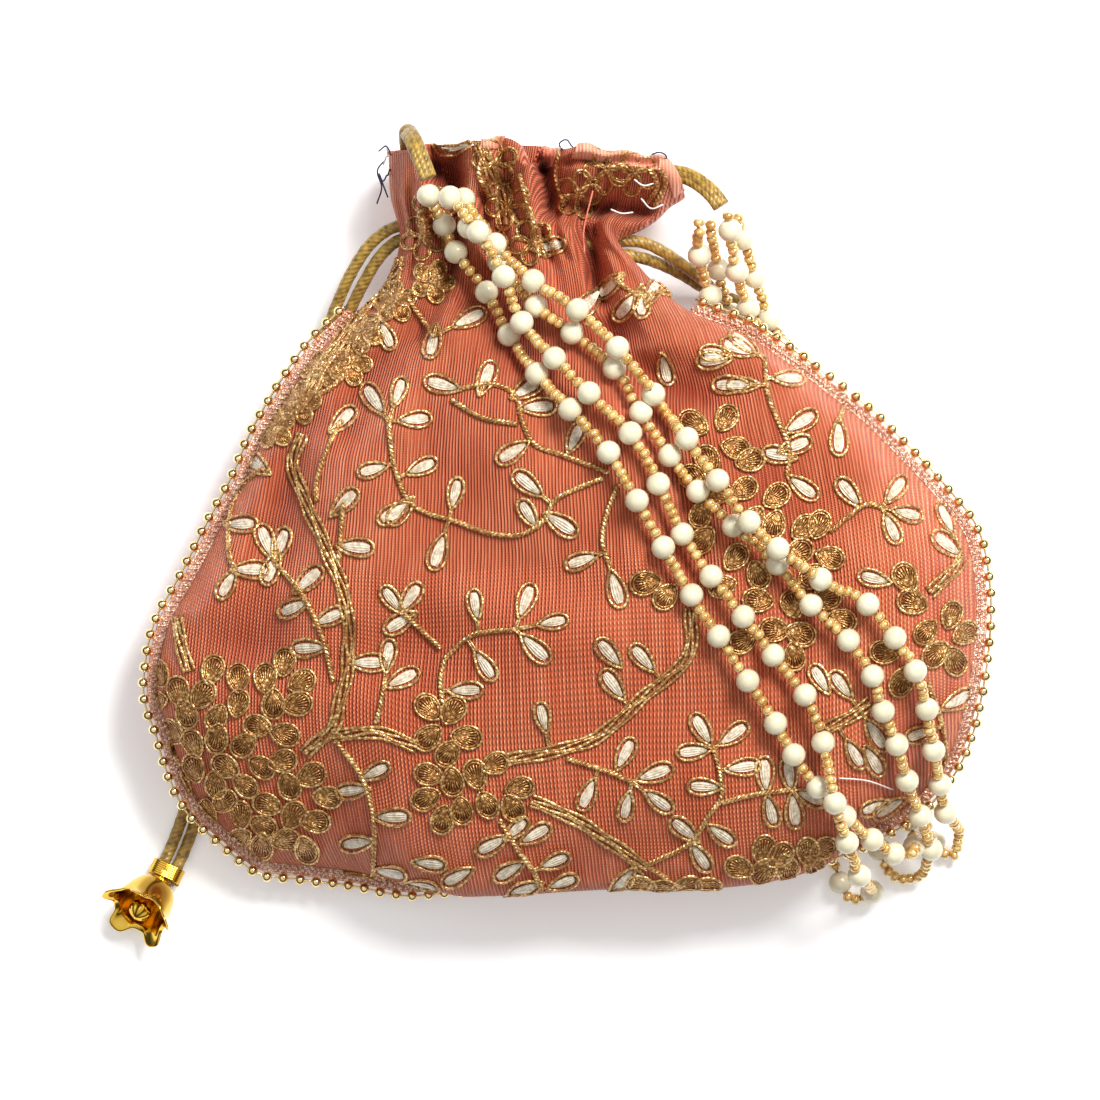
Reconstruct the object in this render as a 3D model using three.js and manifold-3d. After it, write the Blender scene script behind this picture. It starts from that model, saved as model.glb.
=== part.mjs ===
import * as THREE from "three";
import { mergeVertices } from "three/addons/utils/BufferGeometryUtils.js";
import Module from "manifold-3d";

// Potli bag: a gathered silk pouch lying on its back on a table.
// X runs to the right, Y towards the mouth and Z up. Millimetres.
const wasm = await Module();
wasm.setup();

// Driving dimensions
const bagWidth = 213; // across the bead trim
const bagLength = 193; // from the mouth's edge to the bottom trim
const bellyHeight = 35; // front of the belly above its side seams
const neckHalfHeight = 15; // gathered front above the neck's middle
const neckBackDrop = 12; // gathered back below the neck's middle
const mouthFlare = 3; // how much higher the frill stands than the neck
const clothThickness = 1.2; // silk with its interlining
const liningThickness = 0.6;
const liningNeckHalfHeight = 4.2;
const liningNeckHalfWidth = 12.4;
const clearance = 0.3; // between neighbouring pieces
const slitHalfHeight = 2.4; // side openings of the drawstring tunnel
const edgingDiameter = 1.6;
const seamBeadDiameter = 3;
const seamBeadPitch = 4.2;
const seamThreadDiameter = 0.8;
const pearlDiameter = 6;
const pearlPitch = 12.9;
const seedBeadDiameter = 2.1;
const drawstringDiameter = 3;
const handleLoopDiameter = 2.6;
const tasselDiameter = 17.5;
const tasselLength = 13;
const tasselWall = 0.8;
const budDiameter = 5;
const budLength = 8;
const bindingLength = 4;
const bindingWall = 0.8;
const leafWidth = 4.6;
const leafTip = 4.4; // from a leaf's middle to its tip
const flowerDiameter = 16;
const stemWidth = 1.2;
const branchWidth = 2.8;
const embroideryThickness = 0.9;

// The flat drawing of the bag seen from above. Its points are [across, down] in drawing
// units, and a third number is a height in millimetres.
const drawingWidth = 853;
const drawingLength = 773;
const drawingMiddle = [569.5, 521.5];

function across(x) {
  return ((x - drawingMiddle[0]) * bagWidth) / drawingWidth;
}

function along(y) {
  return ((drawingMiddle[1] - y) * bagLength) / drawingLength;
}

function spot([x, y, z = 0]) {
  return new THREE.Vector3(across(x), along(y), z);
}

function smoothCurve(points) {
  return new THREE.CatmullRomCurve3(points, false, "centripetal");
}

function smooth(t) {
  const c = Math.min(1, Math.max(0, t));
  return c * c * (3 - 2 * c);
}

const mix = THREE.MathUtils.lerp;

// The bead line round the bag. The first three points of each side are the open frill and
// the neck, which carry no trim.
const leftLine = [
  [388, 150, 15],
  [390, 195, 16],
  [400, 240, 17],
  [378, 285, 17],
  [345, 306, 17],
  [306, 344, 17],
  [276, 388, 18],
  [251, 431, 18],
  [232, 476, 19],
  [209, 519, 19],
  [180, 576, 20],
  [156, 619, 20],
  [145, 669, 20],
  [145, 702, 19],
  [156, 735, 18],
  [165, 768, 17],
  [185, 811, 15],
].map(spot);
const bottomLine = [
  [185, 811, 15],
  [219, 845, 12],
  [257, 875, 10],
  [304, 882, 9],
  [350, 888, 8],
  [404, 898, 8],
  [450, 895, 7],
  [520, 892, 7],
  [600, 887, 7],
  [700, 886, 8],
  [770, 879, 9],
  [830, 862, 11],
  [880, 840, 13],
  [920, 815, 15],
  [947, 785, 17],
].map(spot);
const rightLine = [
  [685, 190, 17],
  [655, 222, 17],
  [617, 246, 17],
  [650, 274, 17],
  [695, 300, 20],
  [746, 320, 22],
  [791, 349, 23],
  [833, 381, 24],
  [872, 412, 24],
  [910, 450, 24],
  [946, 489, 24],
  [976, 530, 24],
  [988, 591, 24],
  [987, 642, 24],
  [978, 704, 23],
  [966, 750, 20],
  [947, 785, 17],
].map(spot);
const mouthLine = [
  [388, 150, 15],
  [430, 143, 15],
  [490, 140, 16],
  [540, 143, 16],
  [580, 148, 16],
  [640, 152, 16],
  [675, 168, 17],
  [685, 190, 17],
].map(spot);

// The line moved towards the inside of the bag, nothing at the neck and fully past it.
function movedIn(line, distance, inside, plainEnds) {
  return line.map((p, i) => {
    const before = line[Math.max(0, i - 1)];
    const after = line[Math.min(line.length - 1, i + 1)];
    const run = after.clone().sub(before).setZ(0).normalize();
    const inward = new THREE.Vector3(-run.y, run.x, 0).multiplyScalar(inside);
    const share = smooth((i - plainEnds + 1) / 2);
    return p.clone().addScaledVector(inward, distance * share);
  });
}

const edgingReach = seamBeadDiameter / 2 + clearance + edgingDiameter / 2;
const panelReach = edgingReach + edgingDiameter / 2 + clearance;
const neckPoints = 3;
const leftEdge = movedIn(leftLine, panelReach, 1, neckPoints);
const rightEdge = movedIn(rightLine, panelReach, -1, neckPoints);
const bottomEdge = movedIn(bottomLine, panelReach, 1, -1);
bottomEdge[0] = leftEdge[leftEdge.length - 1];
bottomEdge[bottomEdge.length - 1] = rightEdge[rightEdge.length - 1];
const leftCurve = smoothCurve(leftEdge);
const rightCurve = smoothCurve(rightEdge);
const bottomCurve = smoothCurve(bottomEdge);
const mouthCurve = smoothCurve(mouthLine);

// A point of the seam plane: u runs from the left seam to the right one, v from the
// mouth to the bottom seam. Past 1, v runs on beyond the bottom.
function seamPlane(u, v) {
  const w = Math.min(1, v);
  const left = leftCurve.getPointAt(w);
  const right = rightCurve.getPointAt(w);
  const top = mouthCurve.getPointAt(u);
  const bottom = bottomCurve.getPointAt(u);
  const side = left.clone().lerp(right, u);
  const end = top.lerp(bottom, w);
  const corners = leftCurve
    .getPointAt(0)
    .lerp(rightCurve.getPointAt(0), u)
    .lerp(leftCurve.getPointAt(1).lerp(rightCurve.getPointAt(1), u), w);
  const p = side.add(end).sub(corners);
  p.y -= (v - w) * bagLength;
  return p;
}

function halfWidth(v) {
  const w = Math.min(1, v);
  return leftCurve.getPointAt(w).distanceTo(rightCurve.getPointAt(w)) / 2;
}

// Gathers and soft folds of the front: a ridge or a valley along a hand-placed line.
const folds = [
  { line: [[415, 150], [420, 200], [425, 245], [410, 300], [380, 360]], lift: 3, width: 4.5 },
  { line: [[455, 165], [452, 205], [455, 240], [470, 300]], lift: -4, width: 4 },
  { line: [[480, 140], [485, 200], [478, 240], [465, 280], [440, 330]], lift: 2.5, width: 4 },
  { line: [[502, 190], [495, 240], [503, 300], [525, 360]], lift: -4, width: 3.5 },
  { line: [[515, 145], [525, 200], [535, 250], [560, 320]], lift: 3, width: 4 },
  { line: [[550, 140], [555, 190], [562, 220]], lift: -4, width: 3.5 },
  { line: [[560, 225], [580, 280], [605, 335]], lift: 3, width: 4 },
  { line: [[592, 215], [590, 245], [597, 300], [612, 340]], lift: -4.5, width: 3.5 },
  { line: [[618, 235], [628, 290], [660, 340]], lift: 2.5, width: 5 },
  { line: [[575, 160], [630, 158], [668, 178]], lift: 4, width: 6 },
  { line: [[610, 205], [640, 208]], lift: -3, width: 4 },
  { line: [[612, 345], [650, 368], [705, 388]], lift: -5, width: 8 },
  { line: [[690, 335], [760, 380], [830, 405]], lift: 2, width: 12 },
  { line: [[335, 430], [352, 560], [342, 690]], lift: 2, width: 14 },
  { line: [[420, 400], [470, 540], [430, 650]], lift: -2, width: 14 },
  { line: [[560, 440], [590, 560], [560, 680]], lift: 2, width: 16 },
  { line: [[300, 410], [282, 520]], lift: -2.5, width: 10 },
];
for (const fold of folds) fold.points = fold.line.map(spot);

function foldLift(x, y) {
  const here = new THREE.Vector3(x, y, 0);
  const nearest = new THREE.Vector3();
  let lift = 0;
  for (const fold of folds) {
    let distance = Infinity;
    for (let i = 1; i < fold.points.length; i++) {
      const part = new THREE.Line3(fold.points[i - 1], fold.points[i]);
      part.closestPointToPoint(here, true, nearest);
      distance = Math.min(distance, nearest.distanceTo(here));
    }
    lift += fold.lift * Math.exp(-((distance / fold.width) ** 2));
  }
  return lift;
}

const neckRow = 0.107; // the drawstring's place on the way from mouth to bottom
const bellyRow = 0.5;
const turnRow = 0.62; // where the front starts to turn down to the bottom seam
const flatRow = 0.3; // where the back lies flat
const sideFullness = 2.2;
const bottomTuck = 0.25; // how far the belly hangs out over the bottom seam
const foldFade = 9; // the folds die away this near a seam

function crown(u) {
  return Math.sqrt(Math.max(0, 1 - Math.abs(2 * u - 1) ** sideFullness));
}

// The seams stand open at the two ends of the drawstring tunnel.
function slit(u, w) {
  const open = smooth((w - 0.06) / 0.015) * (1 - smooth((w - 0.15) / 0.02));
  return slitHalfHeight * open * (1 - crown(u));
}

function turnAt(w) {
  return (Math.max(0, (w - turnRow) / (1 - turnRow)) * Math.PI) / 2;
}

// Where a row of the front lies on the way down the seam
function seamRow(w) {
  return w < turnRow ? w : turnRow + (1 - turnRow) * Math.sin(turnAt(w));
}

function frontPoint(u, w, plain = false) {
  const turn = turnAt(w);
  const tuckShare = smooth((u - 0.2) / 0.18) * smooth((0.94 - u) / 0.12);
  const tuck = bottomTuck * tuckShare * Math.sin(2 * turn) ** 2;
  const v = seamRow(w) + (1 - turnRow) * tuck;
  const p = seamPlane(u, v);
  const gathered = neckHalfHeight + mouthFlare * smooth(1 - w / neckRow);
  const rise = mix(gathered, bellyHeight, smooth((w - neckRow) / (bellyRow - neckRow)));
  p.z += crown(u) * rise * Math.cos(turn);
  if (plain) return p;
  const fromSeam = (1 - Math.abs(2 * u - 1)) * halfWidth(v);
  p.z += foldLift(p.x, p.y) * smooth(fromSeam / foldFade) * Math.cos(turn);
  p.z += clearance + slit(u, w);
  return p;
}

const leftReach = 42; // from the left seam to the back's flat
const rightReach = 95; // the strands and the right drawstring lie under this side
const bottomReach = 36;
const backPleats = 7;
const backPleatDepth = 1.2;

function backPoint(u, w, plain = false) {
  const p = seamPlane(u, w);
  const fromSeam = (1 - Math.abs(2 * u - 1)) * halfWidth(w);
  const reach = u < 0.5 ? leftReach : rightReach;
  const side = Math.max(0, 1 - fromSeam / reach);
  const bottom = Math.max(0, 1 - ((1 - w) * bagLength) / bottomReach);
  const edge = side + bottom - side * bottom;
  const flat = p.z * edge ** mix(2, 1.3, smooth(u * 2 - 0.5));
  const pleat = backPleatDepth * Math.cos(2 * Math.PI * backPleats * u);
  const neck = p.z - crown(u) * (neckBackDrop + (plain ? 0 : pleat));
  p.z = mix(neck, flat, smooth((w - neckRow) / (flatRow - neckRow)));
  if (!plain) p.z -= slit(u, w);
  return p;
}

// Solids from grids of points
function solid(points, faces) {
  const geometry = new THREE.BufferGeometry();
  const flat = points.flatMap((p) => [p.x, p.y, p.z]);
  geometry.setAttribute("position", new THREE.Float32BufferAttribute(flat, 3));
  geometry.setIndex(faces);
  return mergeVertices(geometry, 1e-4);
}

function addQuad(faces, a, b, c, d) {
  faces.push(a, b, c, a, c, d);
}

// The point's outward direction
function outward(surface, u, w, up) {
  const step = 0.002;
  const du = surface(Math.min(1, u + step), w).sub(surface(Math.max(0, u - step), w));
  const dw = surface(u, Math.min(1, w + step)).sub(surface(u, Math.max(0, w - step)));
  return dw.cross(du).multiplyScalar(up).normalize();
}

// The places of the seam's points in a grid: down the left side, along the bottom and
// up the right side.
function seamLoop(high, wide) {
  const left = Array.from({ length: high }, (_, i) => i * wide);
  const right = left.map((a) => a + wide - 1).reverse();
  const bottom = Array.from({ length: wide - 2 }, (_, j) => (high - 1) * wide + j + 1);
  return [...left, ...bottom, ...right];
}

// A panel of cloth between its outer face and a face one thickness further in. On the
// seam the thickness lies level, so that both panels meet square, and neither panel's
// inner face crosses the seam plane.
function panel(surface, columns, rows, up) {
  const points = [];
  const inner = [];
  for (const w of rows)
    for (const u of columns) {
      const p = surface(u, w);
      const q = p.clone().addScaledVector(outward(surface, u, w, up), -clothThickness);
      const plane = seamPlane(u, up > 0 ? seamRow(w) : w).z;
      q.z = up > 0 ? Math.max(q.z, plane + clearance) : Math.min(q.z, plane - clearance);
      points.push(p);
      inner.push(q);
    }
  const loop = seamLoop(rows.length, columns.length);
  loop.forEach((at, i) => {
    const before = points[loop[Math.max(0, i - 1)]];
    const after = points[loop[Math.min(loop.length - 1, i + 1)]];
    const run = after.clone().sub(before).setZ(0).normalize();
    const inward = new THREE.Vector3(-run.y, run.x, 0);
    inner[at] = points[at].clone().addScaledVector(inward, clothThickness);
  });
  const count = points.length;
  const wide = columns.length;
  const faces = [];
  const quad = up > 0 ? addQuad : (f, a, b, c, d) => addQuad(f, d, c, b, a);
  const last = (rows.length - 1) * wide;
  for (let i = 0; i < rows.length - 1; i++) {
    for (let j = 0; j < wide - 1; j++) {
      const a = i * wide + j;
      quad(faces, a, a + wide, a + wide + 1, a + 1);
      quad(faces, count + a, count + a + 1, count + a + wide + 1, count + a + wide);
    }
    const a = i * wide;
    const b = a + wide - 1;
    quad(faces, a, count + a, count + a + wide, a + wide);
    quad(faces, b, b + wide, count + b + wide, count + b);
  }
  for (let j = 0; j < wide - 1; j++) {
    quad(faces, j, j + 1, count + j + 1, count + j);
    quad(faces, last + j, count + last + j, count + last + j + 1, last + j + 1);
  }
  return solid([...points, ...inner], faces);
}

// Steps from seam to seam, closer together near both seams
function crossSteps(count) {
  return Array.from({ length: count + 1 }, (_, i) => {
    const even = i / count;
    return mix(even, (1 - Math.cos(Math.PI * even)) / 2, 0.7);
  });
}

function between(start, end, count) {
  return Array.from({ length: count }, (_, i) => mix(start, end, i / count));
}

// Both panels have the same rows and columns, so their edges lie together all round.
const neckRows = [0, 0.04, 0.075, 0.107, 0.135, 0.17];
const rows = [...neckRows, ...between(0.22, turnRow, 6), ...between(turnRow, 1, 7), 1];
const columns = crossSteps(20);
const frontPanel = panel(frontPoint, columns, rows, 1);
const backPanel = panel(backPoint, columns, rows.map(seamRow), -1);

const neckMiddle = spot([508, 243, 17]);

// The lining is one thin bag inside the panels. Its neck passes through the drawstrings.
const liningMouthRow = 0.05;
const liningBellyShare = 0.93;
const liningBottomRow = 0.95;
const liningFullness = 0.78;
const liningLift = clothThickness * 2;
const liningOpenRow = 0.17; // below the drawstrings it starts to widen
const liningWideRow = 0.42;

function liningPoint(side, u, w) {
  const open = smooth((w - liningOpenRow) / (liningWideRow - liningOpenRow));
  const inW = w * liningBottomRow;
  const inU = 0.5 + (u - 0.5) * liningBellyShare;
  const back = backPoint(inU, inW, true);
  const front = frontPoint(inU, inW, true);
  const middle = seamPlane(inU, inW);
  const closing = Math.sqrt(Math.max(0, 1 - w ** 6)) * crown(u);
  const floor = back.z + liningLift;
  const top = floor + Math.max(0, front.z - floor) * liningFullness * closing;
  const bag = new THREE.Vector3(middle.x, middle.y, side > 0 ? top : floor);
  const neck = new THREE.Vector3(
    neckMiddle.x + (2 * u - 1) * liningNeckHalfWidth,
    seamPlane(0.5, inW).y,
    neckMiddle.z + side * liningNeckHalfHeight * crown(u),
  );
  return neck.lerp(bag, open);
}

function liningBag() {
  const across = crossSteps(9);
  const down = [liningMouthRow, 0.08, neckRow, 0.14, 0.17, 0.24, 0.33, 0.42, 0.55, 0.7, 0.84, 0.94, 1];
  const ring = [];
  for (const u of across) ring.push([1, u]);
  for (const u of across.slice(1, -1).reverse()) ring.push([-1, u]);
  const points = [];
  const inner = [];
  for (const w of down) {
    for (const [side, u] of ring) {
      const p = liningPoint(side, u, w);
      const inside = new THREE.Vector3();
      if (u === 0 || u === 1) inside.set(u === 0 ? 1 : -1, 0, 0);
      else if (w === 1) inside.set(0, 1, 0);
      else inside.copy(outward((a, b) => liningPoint(side, a, b), u, w, -side));
      points.push(p);
      inner.push(p.clone().addScaledVector(inside, liningThickness));
    }
  }
  const count = points.length;
  const round = ring.length;
  const faces = [];
  for (let i = 0; i < down.length - 1; i++)
    for (let j = 0; j < round; j++) {
      const a = i * round + j;
      const b = i * round + ((j + 1) % round);
      addQuad(faces, a, a + round, b + round, b);
      addQuad(faces, count + a, count + b, count + b + round, count + a + round);
    }
  for (let j = 0; j < round; j++) {
    const b = (j + 1) % round;
    addQuad(faces, j, b, count + b, count + j);
  }
  return solid([...points, ...inner], faces);
}

// A round cord along a curve, with a step every few diameters
function cord(points, diameter, step, sides = 8) {
  const curve = smoothCurve(points);
  const section = new THREE.Shape();
  for (let i = 0; i < sides; i++) {
    const angle = (2 * Math.PI * i) / sides;
    const x = (diameter / 2) * Math.cos(angle);
    const y = (diameter / 2) * Math.sin(angle);
    if (i === 0) section.moveTo(x, y);
    else section.lineTo(x, y);
  }
  const steps = Math.max(4, Math.round(curve.getLength() / step));
  const shape = { steps, extrudePath: curve, bevelEnabled: false };
  return plainSolid(new THREE.ExtrudeGeometry(section, shape));
}

function plainSolid(geometry) {
  geometry.deleteAttribute("normal");
  geometry.deleteAttribute("uv");
  return mergeVertices(geometry, 1e-4);
}

// A closed tube of rings, each with its own middle, direction and radius
function ringTube(rings, sides) {
  const points = [];
  for (const { centre, tangent, radius } of rings) {
    const side = new THREE.Vector3(-tangent.y, tangent.x, 0).normalize();
    const normal = tangent.clone().cross(side);
    for (let k = 0; k < sides; k++) {
      const angle = (2 * Math.PI * k) / sides;
      points.push(
        centre
          .clone()
          .addScaledVector(side, radius * Math.cos(angle))
          .addScaledVector(normal, radius * Math.sin(angle)),
      );
    }
  }
  const faces = [];
  const last = (rings.length - 1) * sides;
  for (let i = 0; i < rings.length - 1; i++)
    for (let k = 0; k < sides; k++) {
      const a = i * sides + k;
      const b = i * sides + ((k + 1) % sides);
      addQuad(faces, a, b, b + sides, a + sides);
    }
  for (let k = 1; k < sides - 1; k++) {
    faces.push(0, k + 1, k);
    faces.push(last, last + k, last + k + 1);
  }
  return solid(points, faces);
}

// A string of beads: rings of changing radius, drawn out to a thread between the beads
function beadString(curve, pitch, profile, sides, threadDiameter) {
  const length = curve.getLength();
  const count = Math.max(2, Math.floor(length / pitch));
  const places = [[0, threadDiameter / 2]];
  for (let i = 0; i < count; i++) {
    const middle = (i + 0.5) * (length / count);
    for (const [offset, radius] of profile) places.push([middle + offset, radius]);
  }
  places.push([length, threadDiameter / 2]);
  const rings = places.map(([distance, radius]) => {
    const t = Math.min(1, Math.max(0, distance / length));
    return { centre: curve.getPointAt(t), tangent: curve.getTangentAt(t), radius };
  });
  return ringTube(rings, sides);
}

// Net edging and bead trim, outside the seam from shoulder to shoulder
const trimStart = neckPoints + 1;
const trimRow = 0.17; // the edging's ends, at both shoulders
const trimLine = [
  ...leftLine.slice(trimStart),
  ...bottomLine.slice(1, -1),
  ...rightLine.slice(trimStart).reverse(),
];
// The edging follows the panels' edges point by point.
const seamRows = rows.map(seamRow).filter((v) => v > trimRow);
const edgeLine = [
  ...seamRows.map((v) => seamPlane(0, v)),
  ...columns.slice(1, -1).map((u) => seamPlane(u, 1)),
  ...seamRows.map((v) => seamPlane(1, v)).reverse(),
];
const edgingRings = edgeLine.map((p, i) => {
  const before = edgeLine[Math.max(0, i - 1)];
  const after = edgeLine[Math.min(edgeLine.length - 1, i + 1)];
  const tangent = after.clone().sub(before).normalize();
  const outside = new THREE.Vector3(tangent.y, -tangent.x, 0).normalize();
  const centre = p.clone().addScaledVector(outside, panelReach - edgingReach);
  centre.z += clearance / 2;
  return { centre, tangent, radius: edgingDiameter / 2 };
});
const edging = ringTube(edgingRings, 5);
const beadEnd = seamBeadPitch * 0.42;
const seamBeadProfile = [
  [-beadEnd, seamThreadDiameter / 2],
  [0, seamBeadDiameter / 2],
];
const seamBeads = beadString(
  smoothCurve(trimLine),
  seamBeadPitch,
  seamBeadProfile,
  4,
  seamThreadDiameter,
);

// The front as the camera sees it from above, for everything that is sewn or laid on it
const frontMesh = new THREE.Mesh(frontPanel);
const skyHeight = bellyHeight * 4;
const ray = new THREE.Raycaster();
const down = new THREE.Vector3(0, 0, -1);

function frontHeight(x, y) {
  ray.set(new THREE.Vector3(x, y, skyHeight), down);
  const hit = ray.intersectObject(frontMesh)[0];
  return hit ? hit.point.z : null;
}

const plateLift = 0.6; // embroidery lies this far off the cloth where it curves

// The free ends, from the tunnel to the tassels, in millimetres
const legPoints = {
  left_drawstring_end_1: [
    [-38.7, 74.2, 17], [-44, 73.4, 17], [-49.5, 69.6, 16], [-54.5, 62.5, 13.5],
    [-58.6, 54, 10], [-63, 43, 6], [-68, 30, 2.5], [-75, 12, 1.7], [-83, -8, 1.7],
    [-90, -30, 1.7], [-94.3, -52, 1.7], [-96.5, -70, 1.7], [-100.5, -82, 1.9],
    [-104.2, -89.6, 3.5],
  ],
  left_drawstring_end_2: [
    [-38.7, 70.8, 17], [-43, 70, 17], [-47.2, 66.4, 16], [-51.4, 60, 13.5],
    [-55.4, 52.2, 10], [-59.6, 41.6, 6], [-64.6, 28.8, 2.5], [-71.6, 10.8, 1.7],
    [-79.6, -9.2, 1.7], [-86.5, -31, 1.7], [-90.8, -52.6, 1.7], [-93.1, -71, 1.7],
    [-97.4, -83.6, 1.9], [-101.2, -91.4, 3.5],
  ],
  right_drawstring_end_1: [
    [7.9, 69.2, 17], [13, 70, 17.4], [18.5, 69.6, 17.2], [23.8, 67.2, 15.5],
    [29, 63.8, 13], [34, 60.2, 9], [38.6, 55.6, 5.2], [42.5, 50.2, 2.2], [47.5, 44.2, 1.7],
    [56.5, 36, 1.7], [69, 23.5, 1.7], [78.7, 7, 1.7], [83.9, -9, 1.7], [85.6, -19, 2],
    [86.4, -28.6, 3.3],
  ],
  right_drawstring_end_2: [
    [7.9, 65.8, 17], [12.5, 66.6, 17], [17.5, 66, 15.6], [23, 64.4, 12.2],
    [28.4, 62, 8.6], [33.4, 59.2, 5], [38.6, 57.2, 1.9], [44.5, 54.6, 1.7],
    [49.5, 50.2, 1.7], [54.5, 45, 1.7], [61.5, 37.5, 1.7], [72.4, 25, 1.7], [82.1, 8, 1.7],
    [87.3, -10, 1.7], [89, -19.5, 2], [89.8, -28.8, 3.3],
  ],
};

// Handle: four strands that come over the front, turn under at the lower right and run
// back on the table to the right of the neck. Over: drawing points. Under: drawing points
// with heights, which start where the strand has turned.
const strands = [
  {
    name: "handle_strand_3",
    over: [
      [470, 232], [500, 266], [536, 311], [571, 337], [613, 373], [638, 416], [666, 458],
      [694, 493], [728, 526], [771, 563], [804, 603], [841, 638], [865, 673], [876, 708],
      [890, 740], [902, 777], [918, 814], [932, 850],
    ],
    under: [
      [922, 880, 4], [897, 880, 3.2], [880, 846, 3.2], [858, 785, 3.2], [834, 715, 3.2],
      [811, 630, 3.2], [797, 540, 3.2], [791, 460, 3.2], [781, 395, 4], [753, 345, 6.6],
      [733, 312, 7], [722, 280, 11], [714, 250, 18], [709, 224, 24.5],
    ],
  },
  {
    name: "handle_strand_4",
    over: [
      [465, 205], [496, 250], [533, 286], [576, 315], [616, 354], [650, 398], [682, 441],
      [713, 483], [742, 522], [771, 549], [813, 578], [860, 603], [886, 635], [907, 668],
      [920, 707], [928, 747], [937, 783], [945, 812],
    ],
    under: [
      [962, 838, 6], [957, 858, 3.2], [940, 848, 3.2], [920, 790, 3.2], [890, 715, 3.2],
      [866, 630, 3.2], [851, 540, 3.2], [843, 460, 3.2], [835, 395, 4], [800, 358, 6.6],
      [773, 322, 7], [760, 288, 11], [747, 255, 19], [735, 217, 26.5],
    ],
  },
  {
    name: "handle_strand_1",
    over: [
      [430, 200], [445, 228], [457, 256], [487, 295], [510, 339], [537, 378], [570, 414],
      [607, 456], [634, 502], [660, 548], [687, 593], [714, 634], [743, 678], [770, 719],
      [788, 750], [812, 782], [840, 812], [868, 836], [892, 852],
    ],
    under: [
      [912, 852, 7], [915, 832, 3.2], [892, 790, 3.2], [862, 715, 3.2], [838, 630, 3.2], [824, 540, 3.2], [817, 460, 3.2], [808, 395, 4], [782, 352, 8],
      [753, 317, 11.5], [740, 285, 16], [731, 252, 21.8], [726, 218, 26],
    ],
  },
  {
    name: "handle_strand_2",
    over: [
      [452, 205], [480, 240], [504, 282], [522, 327], [554, 363], [588, 398], [628, 437],
      [655, 486], [678, 534], [707, 576], [738, 615], [767, 652], [799, 692], [817, 738],
      [828, 797], [841, 836], [856, 872],
    ],
    under: [
      [872, 898, 3.2], [854, 904, 3.2], [840, 876, 3.2], [826, 800, 3.2], [806, 715, 3.2],
      [784, 630, 3.2], [770, 540, 3.2], [765, 460, 3.2], [755, 395, 4], [730, 345, 7.5],
      [716, 310, 11.5], [703, 275, 16], [697, 246, 21], [697, 222, 23.5],
    ],
  },
];
const strandStep = 3;
const strandSpacing = pearlDiameter + clearance;
const steepest = 1.1; // fall of a strand for each millimetre of its way
const sewnHeight = plateLift + embroideryThickness + clearance;
const touchReach = pearlDiameter * 0.36;

// The height at which a bead's middle rests on the sewn front, or on the table beside it
function bedHeight(x, y) {
  const radius = pearlDiameter / 2 + clearance / 2;
  let height = radius;
  for (let k = 0; k <= 8; k++) {
    const reach = k === 0 ? 0 : touchReach;
    const angle = (2 * Math.PI * k) / 8;
    const cloth = frontHeight(x + reach * Math.cos(angle), y + reach * Math.sin(angle));
    if (cloth === null) continue;
    height = Math.max(height, cloth + sewnHeight + Math.sqrt(radius ** 2 - reach ** 2));
  }
  return height;
}

// Lifts a strand's points off whatever they run into
function liftOff(points, obstacles) {
  for (const p of points)
    for (let pass = 0; pass < 3; pass++)
      for (const { place, reach } of obstacles) {
        if (place.distanceTo(p) >= reach) continue;
        const aside = Math.hypot(place.x - p.x, place.y - p.y);
        p.z = place.z + Math.sqrt(reach ** 2 - aside ** 2);
      }
}

// A strand laid on the front and on what was laid before it
function laidStrand({ over, under }, obstacles) {
  const flatCurve = smoothCurve(over.map(spot));
  const count = Math.round(flatCurve.getLength() / strandStep);
  const front = flatCurve.getSpacedPoints(count);
  for (const p of front) p.z = bedHeight(p.x, p.y);
  liftOff(front, obstacles);
  const held = front.map((p) =>
    front.reduce((most, q) => {
      const way = Math.hypot(q.x - p.x, q.y - p.y);
      return Math.max(most, q.z - steepest * way);
    }, p.z),
  );
  front.forEach((p, i) => (p.z = held[i]));
  liftOff(front, obstacles);
  const backCurve = smoothCurve([front.at(-1), ...under.map(spot)]);
  const backCount = Math.round(backCurve.getLength() / strandStep);
  const back = backCurve.getSpacedPoints(backCount).slice(1);
  for (const p of back) p.z = Math.max(p.z, pearlDiameter / 2 + clearance / 2);
  liftOff(back, obstacles);
  return [...front, ...back];
}

function evenPlaces(curve) {
  return curve.getSpacedPoints(Math.round(curve.getLength() / strandStep));
}

const obstacles = [];
const trimSpacing = (pearlDiameter + seamBeadDiameter) / 2 + clearance;
for (const place of evenPlaces(smoothCurve(trimLine))) obstacles.push({ place, reach: trimSpacing });
const cordSpacing = (pearlDiameter + drawstringDiameter) / 2 + clearance;
for (const points of Object.values(legPoints)) {
  const curve = smoothCurve(points.map((p) => new THREE.Vector3(...p)));
  for (const place of evenPlaces(curve)) obstacles.push({ place, reach: cordSpacing });
}
const handleStrands = strands.map((strand) => {
  const curve = smoothCurve(laidStrand(strand, obstacles));
  for (const place of evenPlaces(curve)) obstacles.push({ place, reach: strandSpacing });
  return { name: strand.name, curve };
});
const pearlProfile = [
  [-pearlDiameter * 0.52, seedBeadDiameter / 2],
  [0, pearlDiameter / 2],
  [pearlDiameter * 0.52, seedBeadDiameter / 2],
];

// Satin loops that carry the strands' ends, sewn inside the frill on both sides
const leftLoopPoints = [
  [412, 172, 14], [409, 150, 18], [408, 138.5, 24], [410, 137, 31], [416, 148, 36],
  [424, 168, 38.5], [430, 184, 39.5],
].map(spot);
const rightLoopPoints = [
  [646, 180, 17], [668, 174, 18], [686, 177, 20.5], [702, 187, 23], [714, 199, 24.5],
  [720, 208, 25],
].map(spot);

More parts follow.
